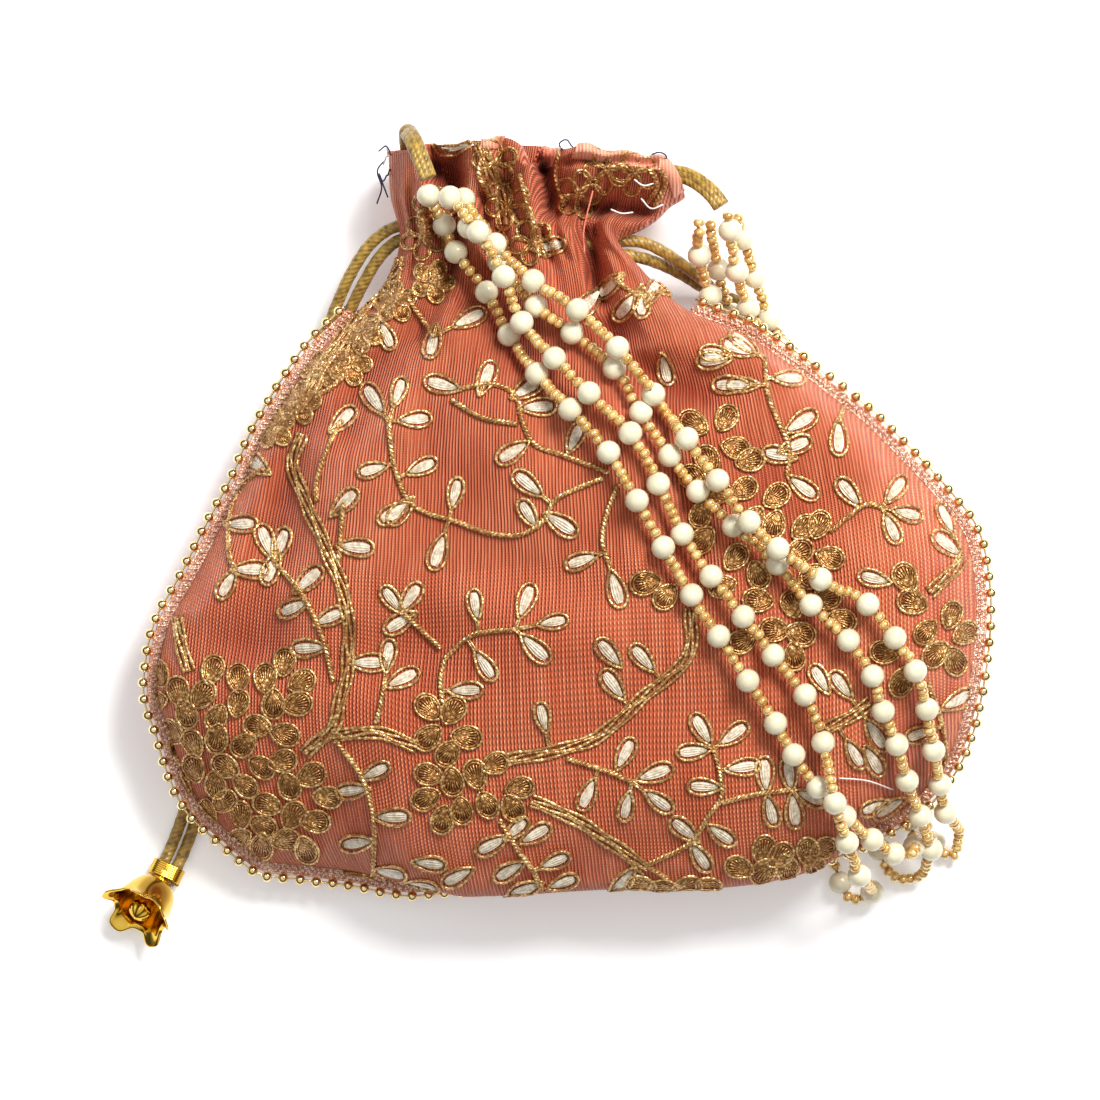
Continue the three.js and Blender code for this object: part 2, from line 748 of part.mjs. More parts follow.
// Drawstrings. Each is one satin cord that goes once round the neck inside the tunnel and
// leaves it with both ends on the same side.
const tunnelHalfWidth = 16;
const tunnelHalfHeight = 6.6;
const drawstringRows = [neckMiddle.y + 2.8, neckMiddle.y - 2.2]; // left string, right string
const legSpread = 1.7;
const legStart = 23.3;

function tunnelString(side, y) {
  const points = [];
  const turns = 10;
  const end = legStart - clearance;
  points.push(new THREE.Vector3(neckMiddle.x + side * end, y + legSpread, neckMiddle.z));
  points.push(new THREE.Vector3(neckMiddle.x + side * (end - 3), y + legSpread, neckMiddle.z));
  for (let i = 0; i <= turns; i++) {
    const angle = mix(0.75, 2 * Math.PI - 0.75, i / turns);
    points.push(
      new THREE.Vector3(
        neckMiddle.x + side * tunnelHalfWidth * Math.cos(angle),
        y + mix(legSpread, -legSpread, i / turns),
        neckMiddle.z + tunnelHalfHeight * Math.sin(angle),
      ),
    );
  }
  points.push(new THREE.Vector3(neckMiddle.x + side * (end - 3), y - legSpread, neckMiddle.z));
  points.push(new THREE.Vector3(neckMiddle.x + side * end, y - legSpread, neckMiddle.z));
  return cord(points, drawstringDiameter, 6);
}

function bindingOn(first, second) {
  const a = new THREE.Vector3(...first.at(-1));
  const b = new THREE.Vector3(...second.at(-1));
  const way = a
    .clone()
    .sub(new THREE.Vector3(...first.at(-2)))
    .normalize();
  const middle = a.clone().add(b).multiplyScalar(0.5);
  const wide = b.clone().sub(a);
  wide.addScaledVector(way, -wide.dot(way));
  const halfSpread = wide.length() / 2;
  wide.normalize();
  const frame = new THREE.Matrix4().makeBasis(wide, way.clone().cross(wide), way);
  const inside = drawstringDiameter / 2 + clearance;
  const ring = (radius, reversed) => {
    const path = reversed ? new THREE.Path() : new THREE.Shape();
    const steps = 12;
    for (let i = 0; i <= steps; i++) {
      const angle = ((reversed ? -1 : 1) * 2 * Math.PI * i) / steps;
      const shift = Math.abs(Math.cos(angle)) < 0.01 ? 0 : Math.sign(Math.cos(angle));
      const x = shift * halfSpread + radius * Math.cos(angle);
      const y = radius * Math.sin(angle);
      if (i === 0) path.moveTo(x, y);
      else if (i < steps) path.lineTo(x, y);
    }
    return path;
  };
  const section = ring(inside + bindingWall, false);
  section.holes.push(ring(inside, true));
  const shape = { depth: bindingLength, bevelEnabled: false };
  const geometry = plainSolid(new THREE.ExtrudeGeometry(section, shape));
  geometry.applyMatrix4(frame);
  const start = middle.clone().addScaledVector(way, -bindingLength - clearance);
  geometry.translate(start.x, start.y, start.z);
  return { geometry, middle, way };
}

// Tassel: a stamped flower bell with five petals, its closed end against the cords
const petals = 5;
const bellProfile = [
  [0, 0.22],
  [0.18, 0.36],
  [0.42, 0.5],
  [0.7, 0.68],
  [1, 1],
];

function bell() {
  const sides = 15;
  const points = [];
  const rows = [];
  const radiusAt = (share, angle, t) => {
    const lobe = 1 - 0.13 * t * (1 - Math.cos(petals * angle));
    return (tasselDiameter / 2) * share * lobe;
  };
  for (const inside of [false, true]) {
    const list = inside ? [...bellProfile].reverse().slice(0, -1) : bellProfile;
    for (const [t, share] of list) {
      const row = [];
      for (let k = 0; k < sides; k++) {
        const angle = (2 * Math.PI * k) / sides;
        const r = radiusAt(share, angle, t) - (inside ? tasselWall : 0);
        const z = t * tasselLength * (1 - 0.06 * (1 - Math.cos(petals * angle)));
        row.push(points.length);
        points.push(new THREE.Vector3(r * Math.cos(angle), r * Math.sin(angle), z));
      }
      rows.push(row);
    }
  }
  const faces = [];
  for (let i = 0; i < rows.length - 1; i++)
    for (let k = 0; k < sides; k++) {
      const n = (k + 1) % sides;
      addQuad(faces, rows[i][k], rows[i][n], rows[i + 1][n], rows[i + 1][k]);
    }
  for (let k = 1; k < sides - 1; k++) {
    faces.push(rows[0][0], rows[0][k + 1], rows[0][k]);
    const end = rows.at(-1);
    faces.push(end[0], end[k], end[k + 1]);
  }
  return solid(points, faces);
}

function bud() {
  const profile = [
    [0, 0],
    [0.35, 0.05],
    [0.6, 0.4],
    [1, 0.75],
    [0.55, 1],
    [0, 1.08],
  ].map(([r, z]) => new THREE.Vector2((r * budDiameter) / 2, z * budLength));
  return plainSolid(new THREE.LatheGeometry(profile, 8).rotateX(Math.PI / 2));
}

function tassel(binding, axis) {
  const turn = new THREE.Quaternion().setFromUnitVectors(new THREE.Vector3(0, 0, 1), axis);
  const seat = binding.middle.clone().addScaledVector(binding.way, clearance * 3.5);
  const floor = bellProfile[1][0] * tasselLength + clearance;
  const budSeat = seat.clone().addScaledVector(axis, floor);
  return {
    bell: bell().applyQuaternion(turn).translate(seat.x, seat.y, seat.z),
    bud: bud().applyQuaternion(turn).translate(budSeat.x, budSeat.y, budSeat.z),
  };
}

const leftBinding = bindingOn(
  legPoints.left_drawstring_end_1,
  legPoints.left_drawstring_end_2,
);
const rightBinding = bindingOn(
  legPoints.right_drawstring_end_1,
  legPoints.right_drawstring_end_2,
);
const leftTassel = tassel(leftBinding, new THREE.Vector3(-0.46, -0.61, 0.64).normalize());
const rightTassel = tassel(rightBinding, new THREE.Vector3(0.02, -0.9, 0.42).normalize());

// Embroidery: thin plates sewn on the front. Each sprig has stems, and leaves that grow
// from the nearest stem.
const sprigs = {
  left_branch: {
    width: branchWidth,
    stems: [
      [[305, 435], [296, 464], [312, 507], [332, 551], [350, 600], [352, 660], [342, 705],
        [334, 728]],
      [[336, 733], [377, 728], [406, 736]],
    ],
    leaves: [],
  },
  middle_branch: {
    width: branchWidth,
    stems: [
      [[528, 752], [545, 749], [566, 744], [601, 730], [634, 700], [660, 678], [684, 655],
        [688, 607]],
    ],
    leaves: [],
  },
  lower_branch: {
    width: branchWidth,
    stems: [[[528, 800], [566, 810], [601, 832], [632, 855]]],
    leaves: [],
  },
  left_sprig: {
    width: stemWidth,
    stems: [[[392, 424], [399, 473], [417, 507], [458, 522], [489, 533], [520, 535],
      [543, 522], [554, 502], [574, 491]]],
    leaves: [
      [377, 402], [401, 395], [417, 422], [377, 471], [424, 469], [397, 513], [441, 551],
      [457, 495], [529, 515], [529, 486],
    ],
  },
  upper_sprig: {
    width: stemWidth,
    stems: [[[453, 403], [485, 411], [516, 399], [523, 424], [534, 446], [561, 457]]],
    leaves: [[445, 388], [487, 382], [538, 410], [514, 454], [574, 441]],
  },
  centre_sprig: {
    width: stemWidth,
    stems: [
      [[404, 612], [443, 646], [447, 656], [474, 633], [516, 627]],
      [[447, 656], [445, 690]],
    ],
    leaves: [
      [396, 599], [413, 597], [477, 604], [526, 600], [552, 620], [535, 645], [486, 662],
      [467, 687],
    ],
  },
  left_edge_sprig: {
    width: stemWidth,
    stems: [[[262, 490], [240, 504], [236, 522], [238, 552], [243, 569]]],
    leaves: [[246, 524], [256, 569], [238, 583]],
  },
  left_fork_sprig: {
    width: stemWidth,
    stems: [[[278, 562], [303, 588], [322, 629]]],
    leaves: [[270, 542], [284, 545], [312, 580], [299, 606]],
  },
  lower_left_sprig: {
    width: stemWidth,
    stems: [[[352, 755], [363, 769], [374, 802], [376, 838], [374, 862]]],
    leaves: [[378, 768], [356, 787], [394, 813], [359, 841]],
  },
  lower_middle_sprig: {
    width: stemWidth,
    stems: [[[566, 760], [604, 766], [630, 777]]],
    leaves: [[587, 789], [623, 750], [652, 769], [656, 796], [625, 801]],
  },
  lower_right_sprig: {
    width: stemWidth,
    stems: [[[650, 856], [688, 838], [707, 809], [718, 793], [715, 761], [710, 745]]],
    leaves: [
      [699, 726], [729, 731], [691, 747], [738, 763], [702, 782], [683, 826], [718, 830],
      [698, 853],
    ],
  },
  right_sprig: {
    width: stemWidth,
    stems: [[[832, 524], [842, 517], [860, 505], [875, 508]]],
    leaves: [[843, 494], [889, 491], [900, 514], [884, 528], [866, 562]],
  },
  shoulder_sprig: {
    width: stemWidth,
    stems: [[[745, 380], [764, 401], [775, 428], [784, 450], [782, 477]]],
    leaves: [[735, 360], [728, 394], [795, 425], [797, 480]],
  },
};
const flowers = {
  left_flowers: [
    [222, 692], [268, 690], [210, 738], [258, 736], [294, 758], [226, 784], [272, 788],
    [292, 828],
  ],
  centre_flowers: [[448, 728], [446, 778], [492, 778]],
  right_flowers: [
    [712, 440], [734, 482], [772, 512], [800, 548], [716, 528], [748, 566], [776, 606],
    [818, 618],
  ],
  far_right_flowers: [[915, 598], [938, 640], [900, 660]],
  lower_right_flowers: [[768, 846], [808, 836]],
};

function clothTop(x, y) {
  const around = 1.2;
  let top = null;
  for (const [dx, dy] of [[0, 0], [around, 0], [-around, 0], [0, around], [0, -around]]) {
    const z = frontHeight(x + dx, y + dy);
    if (z !== null && (top === null || z > top)) top = z;
  }
  return top;
}

// A plate over a run of cross lines, each one a left and a right point in plan
function plate(sections) {
  const points = [];
  for (const section of sections)
    for (const layer of [0, 1])
      for (const [x, y] of section) {
        const z = clothTop(x, y) + plateLift + layer * embroideryThickness;
        points.push(new THREE.Vector3(x, y, z));
      }
  const faces = [];
  for (let i = 0; i < sections.length - 1; i++) {
    const a = i * 4;
    const b = a + 4;
    addQuad(faces, a, b, b + 1, a + 1);
    addQuad(faces, a + 2, a + 3, b + 3, b + 2);
    addQuad(faces, a, a + 2, b + 2, b);
    addQuad(faces, a + 1, b + 1, b + 3, a + 3);
  }
  const end = (sections.length - 1) * 4;
  addQuad(faces, 0, 1, 3, 2);
  addQuad(faces, end, end + 2, end + 3, end + 1);
  return solid(points, faces);
}

const smallestEdge = 0.16;

function manifoldOf(geometry) {
  const mesh = new wasm.Mesh({
    numProp: 3,
    vertProperties: new Float32Array(geometry.attributes.position.array),
    triVerts: new Uint32Array(geometry.index.array),
  });
  return new wasm.Manifold(mesh);
}

function joined(geometries) {
  const whole = geometries.map(manifoldOf).reduce((sum, next) => sum.add(next));
  const mesh = whole.asOriginal().simplify(smallestEdge).getMesh();
  const geometry = new THREE.BufferGeometry();
  const position = new THREE.BufferAttribute(mesh.vertProperties, 3);
  geometry.setAttribute("position", position);
  geometry.setIndex(new THREE.BufferAttribute(mesh.triVerts, 1));
  return geometry;
}

function stripAlong(points, width) {
  const sections = points.map((p, i) => {
    const before = points[Math.max(0, i - 1)];
    const after = points[Math.min(points.length - 1, i + 1)];
    const run = after.clone().sub(before).normalize();
    const half = width / 2;
    return [
      [p.x - run.y * half, p.y + run.x * half],
      [p.x + run.y * half, p.y - run.x * half],
    ];
  });
  return plate(sections);
}

function leafAt(middle, stems) {
  let foot = null;
  const nearest = new THREE.Vector3();
  for (const stem of stems)
    for (let i = 1; i < stem.length; i++) {
      new THREE.Line3(stem[i - 1], stem[i]).closestPointToPoint(middle, true, nearest);
      if (!foot || nearest.distanceTo(middle) < foot.distanceTo(middle)) foot = nearest.clone();
    }
  const way = middle.clone().sub(foot).normalize();
  const aside = new THREE.Vector3(-way.y, way.x, 0).multiplyScalar(leafWidth / 2);
  return flatPlate([
    foot.clone().addScaledVector(way, -stemWidth / 2),
    middle.clone().sub(aside),
    middle.clone().addScaledVector(way, leafTip),
    middle.clone().add(aside),
  ]);
}

// A plate over a simple outline that runs round to the left
function flatPlate(outline) {
  const count = outline.length;
  const points = [];
  for (const layer of [0, 1])
    for (const { x, y } of outline) {
      const z = clothTop(x, y) + plateLift + layer * embroideryThickness;
      points.push(new THREE.Vector3(x, y, z));
    }
  const faces = [];
  for (let k = 1; k < count - 1; k++) {
    faces.push(0, k + 1, k);
    faces.push(count, count + k, count + k + 1);
  }
  for (let k = 0; k < count; k++) {
    const n = (k + 1) % count;
    addQuad(faces, k, n, count + n, count + k);
  }
  return solid(points, faces);
}

// A flower is a round plate with one lobe for each petal.
function flowerAt(middle) {
  const steps = petals * 2;
  const centreTop = clothTop(middle.x, middle.y) + plateLift;
  const points = [];
  for (const layer of [0, 1]) {
    const lift = layer * embroideryThickness;
    for (let k = 0; k < steps; k++) {
      const angle = (2 * Math.PI * k) / steps;
      const r = (flowerDiameter / 2) * (k % 2 ? 0.86 : 1);
      const x = middle.x + r * Math.cos(angle);
      const y = middle.y + r * Math.sin(angle);
      const top = clothTop(x, y);
      points.push(new THREE.Vector3(x, y, (top ?? centreTop) + plateLift + lift));
    }
    points.push(new THREE.Vector3(middle.x, middle.y, centreTop + lift));
  }
  const faces = [];
  const up = steps + 1;
  for (let k = 0; k < steps; k++) {
    const n = (k + 1) % steps;
    faces.push(steps, n, k);
    faces.push(up + steps, up + k, up + n);
    addQuad(faces, k, n, up + n, up + k);
  }
  return solid(points, faces);
}

// Materials
function finish(color, roughness, metalness) {
  return { color, roughness, metalness };
}

const silk = finish(0xdd7258, 0.6, 0);
const liningCloth = finish(0xe9a184, 0.8, 0);
const net = finish(0xe6c3b0, 0.8, 0);
const zari = finish(0xb98a3e, 0.45, 0.6);
const paleGold = finish(0xd8c48a, 0.25, 0.9);
const pearl = finish(0xf3ecd2, 0.3, 0);
const satin = finish(0x8f7a2e, 0.45, 0);
const gold = finish(0xd4a020, 0.2, 1);

const potliBag = new THREE.Group();

function add(name, geometry, look) {
  const mesh = new THREE.Mesh(geometry, new THREE.MeshStandardMaterial(look));
  mesh.name = name;
  potliBag.add(mesh);
}

add("front_panel", frontPanel, silk);
add("back_panel", backPanel, silk);
add("lining", liningBag(), liningCloth);
add("seam_edging", edging, net);
add("seam_beads", seamBeads, paleGold);
for (const { name, curve } of handleStrands)
  add(name, beadString(curve, pearlPitch, pearlProfile, 4, seedBeadDiameter), pearl);
add("left_handle_loop", cord(leftLoopPoints, handleLoopDiameter, 6), satin);
add("right_handle_loop", cord(rightLoopPoints, handleLoopDiameter, 6), satin);
add("left_drawstring_round_neck", tunnelString(-1, drawstringRows[0]), satin);
add("right_drawstring_round_neck", tunnelString(1, drawstringRows[1]), satin);
for (const [name, points] of Object.entries(legPoints))
  add(name, cord(points.map((p) => new THREE.Vector3(...p)), drawstringDiameter, 9), satin);
add("left_cord_binding", leftBinding.geometry, zari);
add("right_cord_binding", rightBinding.geometry, zari);
add("left_tassel_bell", leftTassel.bell, gold);
add("left_tassel_bud", leftTassel.bud, gold);
add("right_tassel_bell", rightTassel.bell, gold);
add("right_tassel_bud", rightTassel.bud, gold);
for (const [name, { width, stems, leaves }] of Object.entries(sprigs)) {
  const lines = stems.map((stem) => stem.map((p) => spot(p)));
  const plates = lines.map((line) => stripAlong(line, width));
  for (const leaf of leaves) plates.push(leafAt(spot(leaf), lines));
  add("embroidered_" + name, joined(plates), zari);
}
for (const [name, places] of Object.entries(flowers))
  add("embroidered_" + name, joined(places.map((p) => flowerAt(spot(p)))), zari);

export default potliBag;
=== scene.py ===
"""Potli bag of coral silk: gold embroidery, a beaded edge, satin drawstrings, pearl handle."""

import math

import bmesh
import bpy
import numpy as np
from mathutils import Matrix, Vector, noise
from mathutils.bvhtree import BVHTree


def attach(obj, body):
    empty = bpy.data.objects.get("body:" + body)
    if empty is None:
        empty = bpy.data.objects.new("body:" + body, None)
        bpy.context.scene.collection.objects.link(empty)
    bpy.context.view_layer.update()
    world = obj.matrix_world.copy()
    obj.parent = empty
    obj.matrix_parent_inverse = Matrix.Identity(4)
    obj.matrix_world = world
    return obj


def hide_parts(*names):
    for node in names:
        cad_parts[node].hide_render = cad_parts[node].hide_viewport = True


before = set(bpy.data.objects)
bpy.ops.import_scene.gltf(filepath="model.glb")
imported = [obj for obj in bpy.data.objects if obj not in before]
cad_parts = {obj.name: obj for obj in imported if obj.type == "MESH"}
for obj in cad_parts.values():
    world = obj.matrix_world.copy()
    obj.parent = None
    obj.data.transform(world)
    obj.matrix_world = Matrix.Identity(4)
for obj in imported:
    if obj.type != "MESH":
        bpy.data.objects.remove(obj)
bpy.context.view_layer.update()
rng = np.random.default_rng(7)


# Camera
# The photo looks straight down on the bag, which lies on its back. The lens is long, so that
# the belly, which stands nearer, keeps its place on the outline.
camera_height = 1.39
camera_data = bpy.data.cameras.new("camera")
camera_data.lens = 180
camera_data.sensor_width = 36
camera_data.dof.use_dof = False
camera_data.clip_end = 20
camera = bpy.data.objects.new("camera", camera_data)
camera.location = (-0.0049, -0.0071, camera_height)
bpy.context.scene.collection.objects.link(camera)
bpy.context.scene.camera = camera


# Side and bottom seam
# The seam that joins the front and back panels, and the lip of the open mouth. The first
# points of each side are frill and neck, without trim. Places are read in the drawing, the
# photo of 1100 by 1100 pixels, with a height above the floor in metres.
bag_width = 0.213
bag_length = 0.193
drawing_width = 853
drawing_length = 773
drawing_middle = (569.5, 521.5)


def spot(point):
    """A place of the drawing, with its height if it has one, in metres."""
    x = (point[0] - drawing_middle[0]) * bag_width / drawing_width
    y = (drawing_middle[1] - point[1]) * bag_length / drawing_length
    return (x, y, point[2] if len(point) > 2 else 0.0)


def spots(points):
    """Places of the drawing as an array, in metres."""
    return np.array([spot(p) for p in points])


class Line:
    """A smooth line through given points, walked by the share of its length."""

    def __init__(self, points, steps=20):
        p = np.asarray(points, float)
        p = np.vstack([2 * p[0] - p[1], p, 2 * p[-1] - p[-2]])
        gaps = np.sqrt(np.linalg.norm(np.diff(p, axis=0), axis=1))[:, None]
        a, b, c, d = p[:-3], p[1:-2], p[2:-1], p[3:]
        before, here, after = gaps[:-2], gaps[1:-1], gaps[2:]
        leave = ((b - a) / before - (c - a) / (before + here) + (c - b) / here) * here
        arrive = ((c - b) / here - (d - b) / (here + after) + (d - c) / after) * here
        t = (np.arange(steps) / steps)[:, None, None]
        pieces = (
            (2 * t**3 - 3 * t**2 + 1) * b
            + (t**3 - 2 * t**2 + t) * leave
            + (3 * t**2 - 2 * t**3) * c
            + (t**3 - t**2) * arrive
        )
        flat = pieces.transpose(1, 0, 2).reshape(-1, 3)
        self.points = np.vstack([flat, c[-1:]])
        way = np.linalg.norm(np.diff(self.points, axis=0), axis=1)
        self.way = np.concatenate([[0], np.cumsum(way)])
        self.length = self.way[-1]

    def at(self, share):
        place = np.asarray(share) * self.length
        return np.stack([np.interp(place, self.way, self.points[:, k]) for k in range(3)], -1)

    def even(self, step):
        return self.at(np.linspace(0, 1, max(2, round(self.length / step) + 1)))

    def share_near(self, place):
        away = np.linalg.norm(self.points[:, :2] - np.asarray(place)[:2], axis=1)
        return self.way[int(np.argmin(away))] / self.length


def unit(v):
    return v / np.maximum(np.linalg.norm(v, axis=-1, keepdims=True), 1e-12)


left_line = spots(
    [
        (388, 150, 0.015), (390, 195, 0.016), (400, 240, 0.017), (378, 285, 0.017),
        (345, 306, 0.017), (306, 344, 0.017), (276, 388, 0.018), (251, 431, 0.018),
        (232, 476, 0.019), (209, 519, 0.019), (180, 576, 0.020), (156, 619, 0.020),
        (145, 669, 0.020), (145, 702, 0.019), (156, 735, 0.018), (165, 768, 0.017),
        (185, 811, 0.015),
    ]
)
bottom_line = spots(
    [
        (185, 811, 0.015), (219, 845, 0.012), (257, 875, 0.010), (304, 882, 0.009),
        (350, 888, 0.008), (404, 898, 0.008), (450, 895, 0.007), (520, 892, 0.007),
        (600, 887, 0.007), (700, 886, 0.008), (770, 879, 0.009), (830, 862, 0.011),
        (880, 840, 0.013), (920, 815, 0.015), (947, 785, 0.017),
    ]
)
right_line = spots(
    [
        (685, 190, 0.017), (655, 222, 0.017), (617, 246, 0.017), (650, 274, 0.017),
        (695, 300, 0.020), (746, 320, 0.022), (791, 349, 0.023), (833, 381, 0.024),
        (872, 412, 0.024), (910, 450, 0.024), (946, 489, 0.024), (976, 530, 0.024),
        (988, 591, 0.024), (987, 642, 0.024), (978, 704, 0.023), (966, 750, 0.020),
        (947, 785, 0.017),
    ]
)
mouth_line = spots(
    [
        (388, 150, 0.015), (430, 143, 0.015), (490, 140, 0.016), (540, 143, 0.016),
        (580, 148, 0.016), (640, 152, 0.016), (675, 168, 0.017), (685, 190, 0.017),
    ]
)
seam_bead = 0.003
edging_width = 0.0016
gap = 0.0003
edging_reach = seam_bead / 2 + gap + edging_width / 2
panel_reach = edging_reach + edging_width / 2 + gap
neck_points = 3


def smooth(t):
    c = np.clip(t, 0, 1)
    return c * c * (3 - 2 * c)


def mix(a, b, share):
    return a + (b - a) * share


def moved_in(line, distance, inside, plain_ends):
    """The line moved towards the inside of the bag, nothing at the neck and fully past it."""
    before = np.vstack([line[:1], line[:-1]])
    after = np.vstack([line[1:], line[-1:]])
    run = (after - before) * (1, 1, 0)
    run = unit(run)
    inward = np.stack([-run[:, 1], run[:, 0], 0 * run[:, 0]], -1) * inside
    share = smooth((np.arange(len(line)) - plain_ends + 1) / 2)
    return line + inward * distance * share[:, None]


left_edge = moved_in(left_line, panel_reach, 1, neck_points)
right_edge = moved_in(right_line, panel_reach, -1, neck_points)
bottom_edge = moved_in(bottom_line, panel_reach, 1, -1)
bottom_edge[0] = left_edge[-1]
bottom_edge[-1] = right_edge[-1]
left_seam = Line(left_edge)
right_seam = Line(right_edge)
bottom_seam = Line(bottom_edge)
mouth_edge = Line(mouth_line)


def seam_plane(u, v):
    """A place of the seam plane: u from the left seam to the right, v from mouth to bottom."""
    w = np.minimum(1, v)
    side = mix(left_seam.at(w), right_seam.at(w), u[..., None])
    end = mix(mouth_edge.at(u), bottom_seam.at(u), w[..., None])
    top = mix(left_seam.at(0), right_seam.at(0), u[..., None])
    low = mix(left_seam.at(1), right_seam.at(1), u[..., None])
    p = side + end - mix(top, low, w[..., None])
    p[..., 1] -= (v - w) * bag_length
    return p


def half_width(v):
    """Half the way from seam to seam."""
    w = np.minimum(1, v)
    return np.linalg.norm(left_seam.at(w) - right_seam.at(w), axis=-1) / 2


# Front panel
# Coral dupion silk, cut wider than the bag and gathered at the neck by the drawstrings, with
# the frill above them. It bulges over the padding and is sewn to the back along the seam.
# Each fold is a ridge or a valley along a line, with its height and half width in metres.
folds = [
    ([(415, 150), (420, 200), (425, 245), (410, 300), (380, 360)], 0.003, 0.0045),
    ([(455, 165), (452, 205), (455, 240), (470, 300)], -0.004, 0.004),
    ([(480, 140), (485, 200), (478, 240), (465, 280), (440, 330)], 0.0025, 0.004),
    ([(502, 190), (495, 240), (503, 300), (525, 360)], -0.004, 0.0035),
    ([(515, 145), (525, 200), (535, 250), (560, 320)], 0.003, 0.004),
    ([(550, 140), (555, 190), (562, 220)], -0.004, 0.0035),
    ([(560, 225), (580, 280), (605, 335)], 0.003, 0.004),
    ([(592, 215), (590, 245), (597, 300), (612, 340)], -0.0045, 0.0035),
    ([(618, 235), (628, 290), (660, 340)], 0.0025, 0.005),
    ([(575, 160), (630, 158), (668, 178)], 0.004, 0.006),
    ([(610, 205), (640, 208)], -0.003, 0.004),
    ([(612, 345), (650, 368), (705, 388)], -0.005, 0.008),
    ([(690, 335), (760, 380), (830, 405)], 0.002, 0.012),
    ([(335, 430), (352, 560), (342, 690)], 0.002, 0.014),
    ([(420, 400), (470, 540), (430, 650)], -0.002, 0.014),
    ([(560, 440), (590, 560), (560, 680)], 0.002, 0.016),
    ([(300, 410), (282, 520)], -0.0025, 0.010),
    ([(250, 440), (235, 520), (200, 600)], 0.003, 0.007),
    ([(290, 470), (280, 560), (262, 640)], -0.0024, 0.007),
    ([(415, 330), (372, 372), (350, 430)], -0.004, 0.005),
    ([(450, 330), (420, 370), (400, 430)], 0.0026, 0.005),
    ([(500, 340), (540, 400), (560, 450)], -0.003, 0.006),
    ([(600, 380), (632, 460), (640, 560)], 0.003, 0.007),
    ([(640, 400), (680, 470), (690, 560)], -0.0032, 0.007),
    ([(640, 290), (700, 340), (790, 372)], 0.0026, 0.006),
    ([(780, 470), (800, 560), (790, 660)], -0.003, 0.009),
    ([(870, 470), (905, 560), (900, 660)], 0.003, 0.008),
    ([(230, 640), (330, 660), (420, 640)], -0.002, 0.008),
    ([(600, 720), (700, 700), (780, 740)], -0.002, 0.009),
    ([(470, 600), (540, 640), (600, 620)], 0.002, 0.008),
]
# Finer creases between the folds
creases = [
    ([(436, 150), (438, 200), (440, 250)], -0.0022, 0.0016),
    ([(468, 150), (468, 205), (466, 250), (452, 300)], 0.0016, 0.0016),
    ([(484, 200), (486, 238)], -0.004, 0.0014),
    ([(430, 170), (444, 170), (455, 182)], -0.0036, 0.0026),
    ([(530, 140), (541, 170)], -0.0034, 0.0013),
    ([(553, 140), (542, 170)], -0.0034, 0.0013),
    ([(546, 165), (551, 216)], -0.0036, 0.0018),
    ([(498, 145), (512, 190), (520, 236)], -0.0018, 0.0013),
    ([(575, 208), (612, 210), (650, 214)], -0.003, 0.0018),
    ([(568, 166), (606, 162), (634, 160), (652, 166)], -0.002, 0.0013),
    ([(462, 236), (448, 290), (420, 340)], -0.002, 0.0016),
    ([(540, 240), (560, 300), (590, 350)], -0.0022, 0.0018),
    ([(566, 232), (576, 270), (596, 320)], 0.0016, 0.0018),
    ([(528, 165), (534, 230), (548, 300)], 0.0014, 0.0018),
    ([(590, 236), (598, 300)], -0.0036, 0.002),
    ([(604, 240), (622, 300), (646, 336)], 0.0016, 0.002),
    ([(640, 225), (650, 260), (690, 300)], -0.0014, 0.002),
    ([(600, 330), (640, 372), (700, 400)], -0.0022, 0.003),
    ([(612, 352), (668, 352), (720, 370)], 0.0016, 0.003),
    ([(392, 250), (372, 300), (340, 345)], -0.0016, 0.0025),
    ([(408, 245), (398, 300), (370, 350)], 0.0014, 0.002),
    ([(318, 420), (300, 440), (290, 500)], -0.0014, 0.003),
    ([(240, 560), (300, 600), (330, 640)], 0.0007, 0.004),
    ([(380, 360), (420, 400), (440, 470)], -0.0009, 0.004),
    ([(520, 560), (600, 600), (640, 650)], -0.0008, 0.005),
    ([(760, 420), (800, 520), (860, 560)], 0.0009, 0.005),
    ([(880, 470), (900, 560), (890, 640)], -0.001, 0.005),
    ([(560, 860), (640, 840), (700, 850)], -0.001, 0.004),
    ([(400, 860), (460, 830), (520, 850)], 0.0008, 0.004),
]
belly_height = 0.035
neck_half_height = 0.015
neck_back_drop = 0.012
mouth_flare = 0.003
neck_row = 0.107
belly_row = 0.5
turn_row = 0.62
flat_row = 0.3
side_fullness = 2.2
bottom_tuck = 0.25
fold_fade = 0.009
crease_fade = 0.004
neck_fold_boost = 0.35
neck_crease_boost = 1.1
frill_wave = 0.0007
frill_ripple = 0.0005
tuck_from = 0.2
tuck_to = 0.94
slit_half_height = 0.0024
slit_rows = (0.06, 0.15)
gather_turns = 74
gather_depth = 0.0016
gather_reach = 0.07
pucker_turns = 330
pucker_depth = 0.00035
pucker_row = 0.18
pucker_reach = 0.0015
frill_end = 0.035
frill_drop = 0.0018
notch_place = 0.46
notch_half_width = 0.018
notch_end = 0.05
notch_depth = 0.004
cloth_thickness = 0.0006
# The depth of a fold valley or crease at which its painted shade is darkest
full_shade_depth = 0.008


def fold_lift(places, lines):
    """How far the folds raise or lower the cloth at each place."""
    xy = places[..., :2]
    lift = np.zeros(xy.shape[:-1])
    for points, height, width in lines:
        line = Line(spots(points), steps=5).points[:, :2]
        nearest = np.full(xy.shape[:-1], np.inf)
        for a, b in zip(line[:-1], line[1:]):
            share = np.clip(((xy - a) @ (b - a)) / ((b - a) @ (b - a)), 0, 1)
            away = np.linalg.norm(xy - (a + share[..., None] * (b - a)), axis=-1)
            nearest = np.minimum(nearest, away)
        lift += height * np.exp(-((nearest / width) ** 2))
    return lift


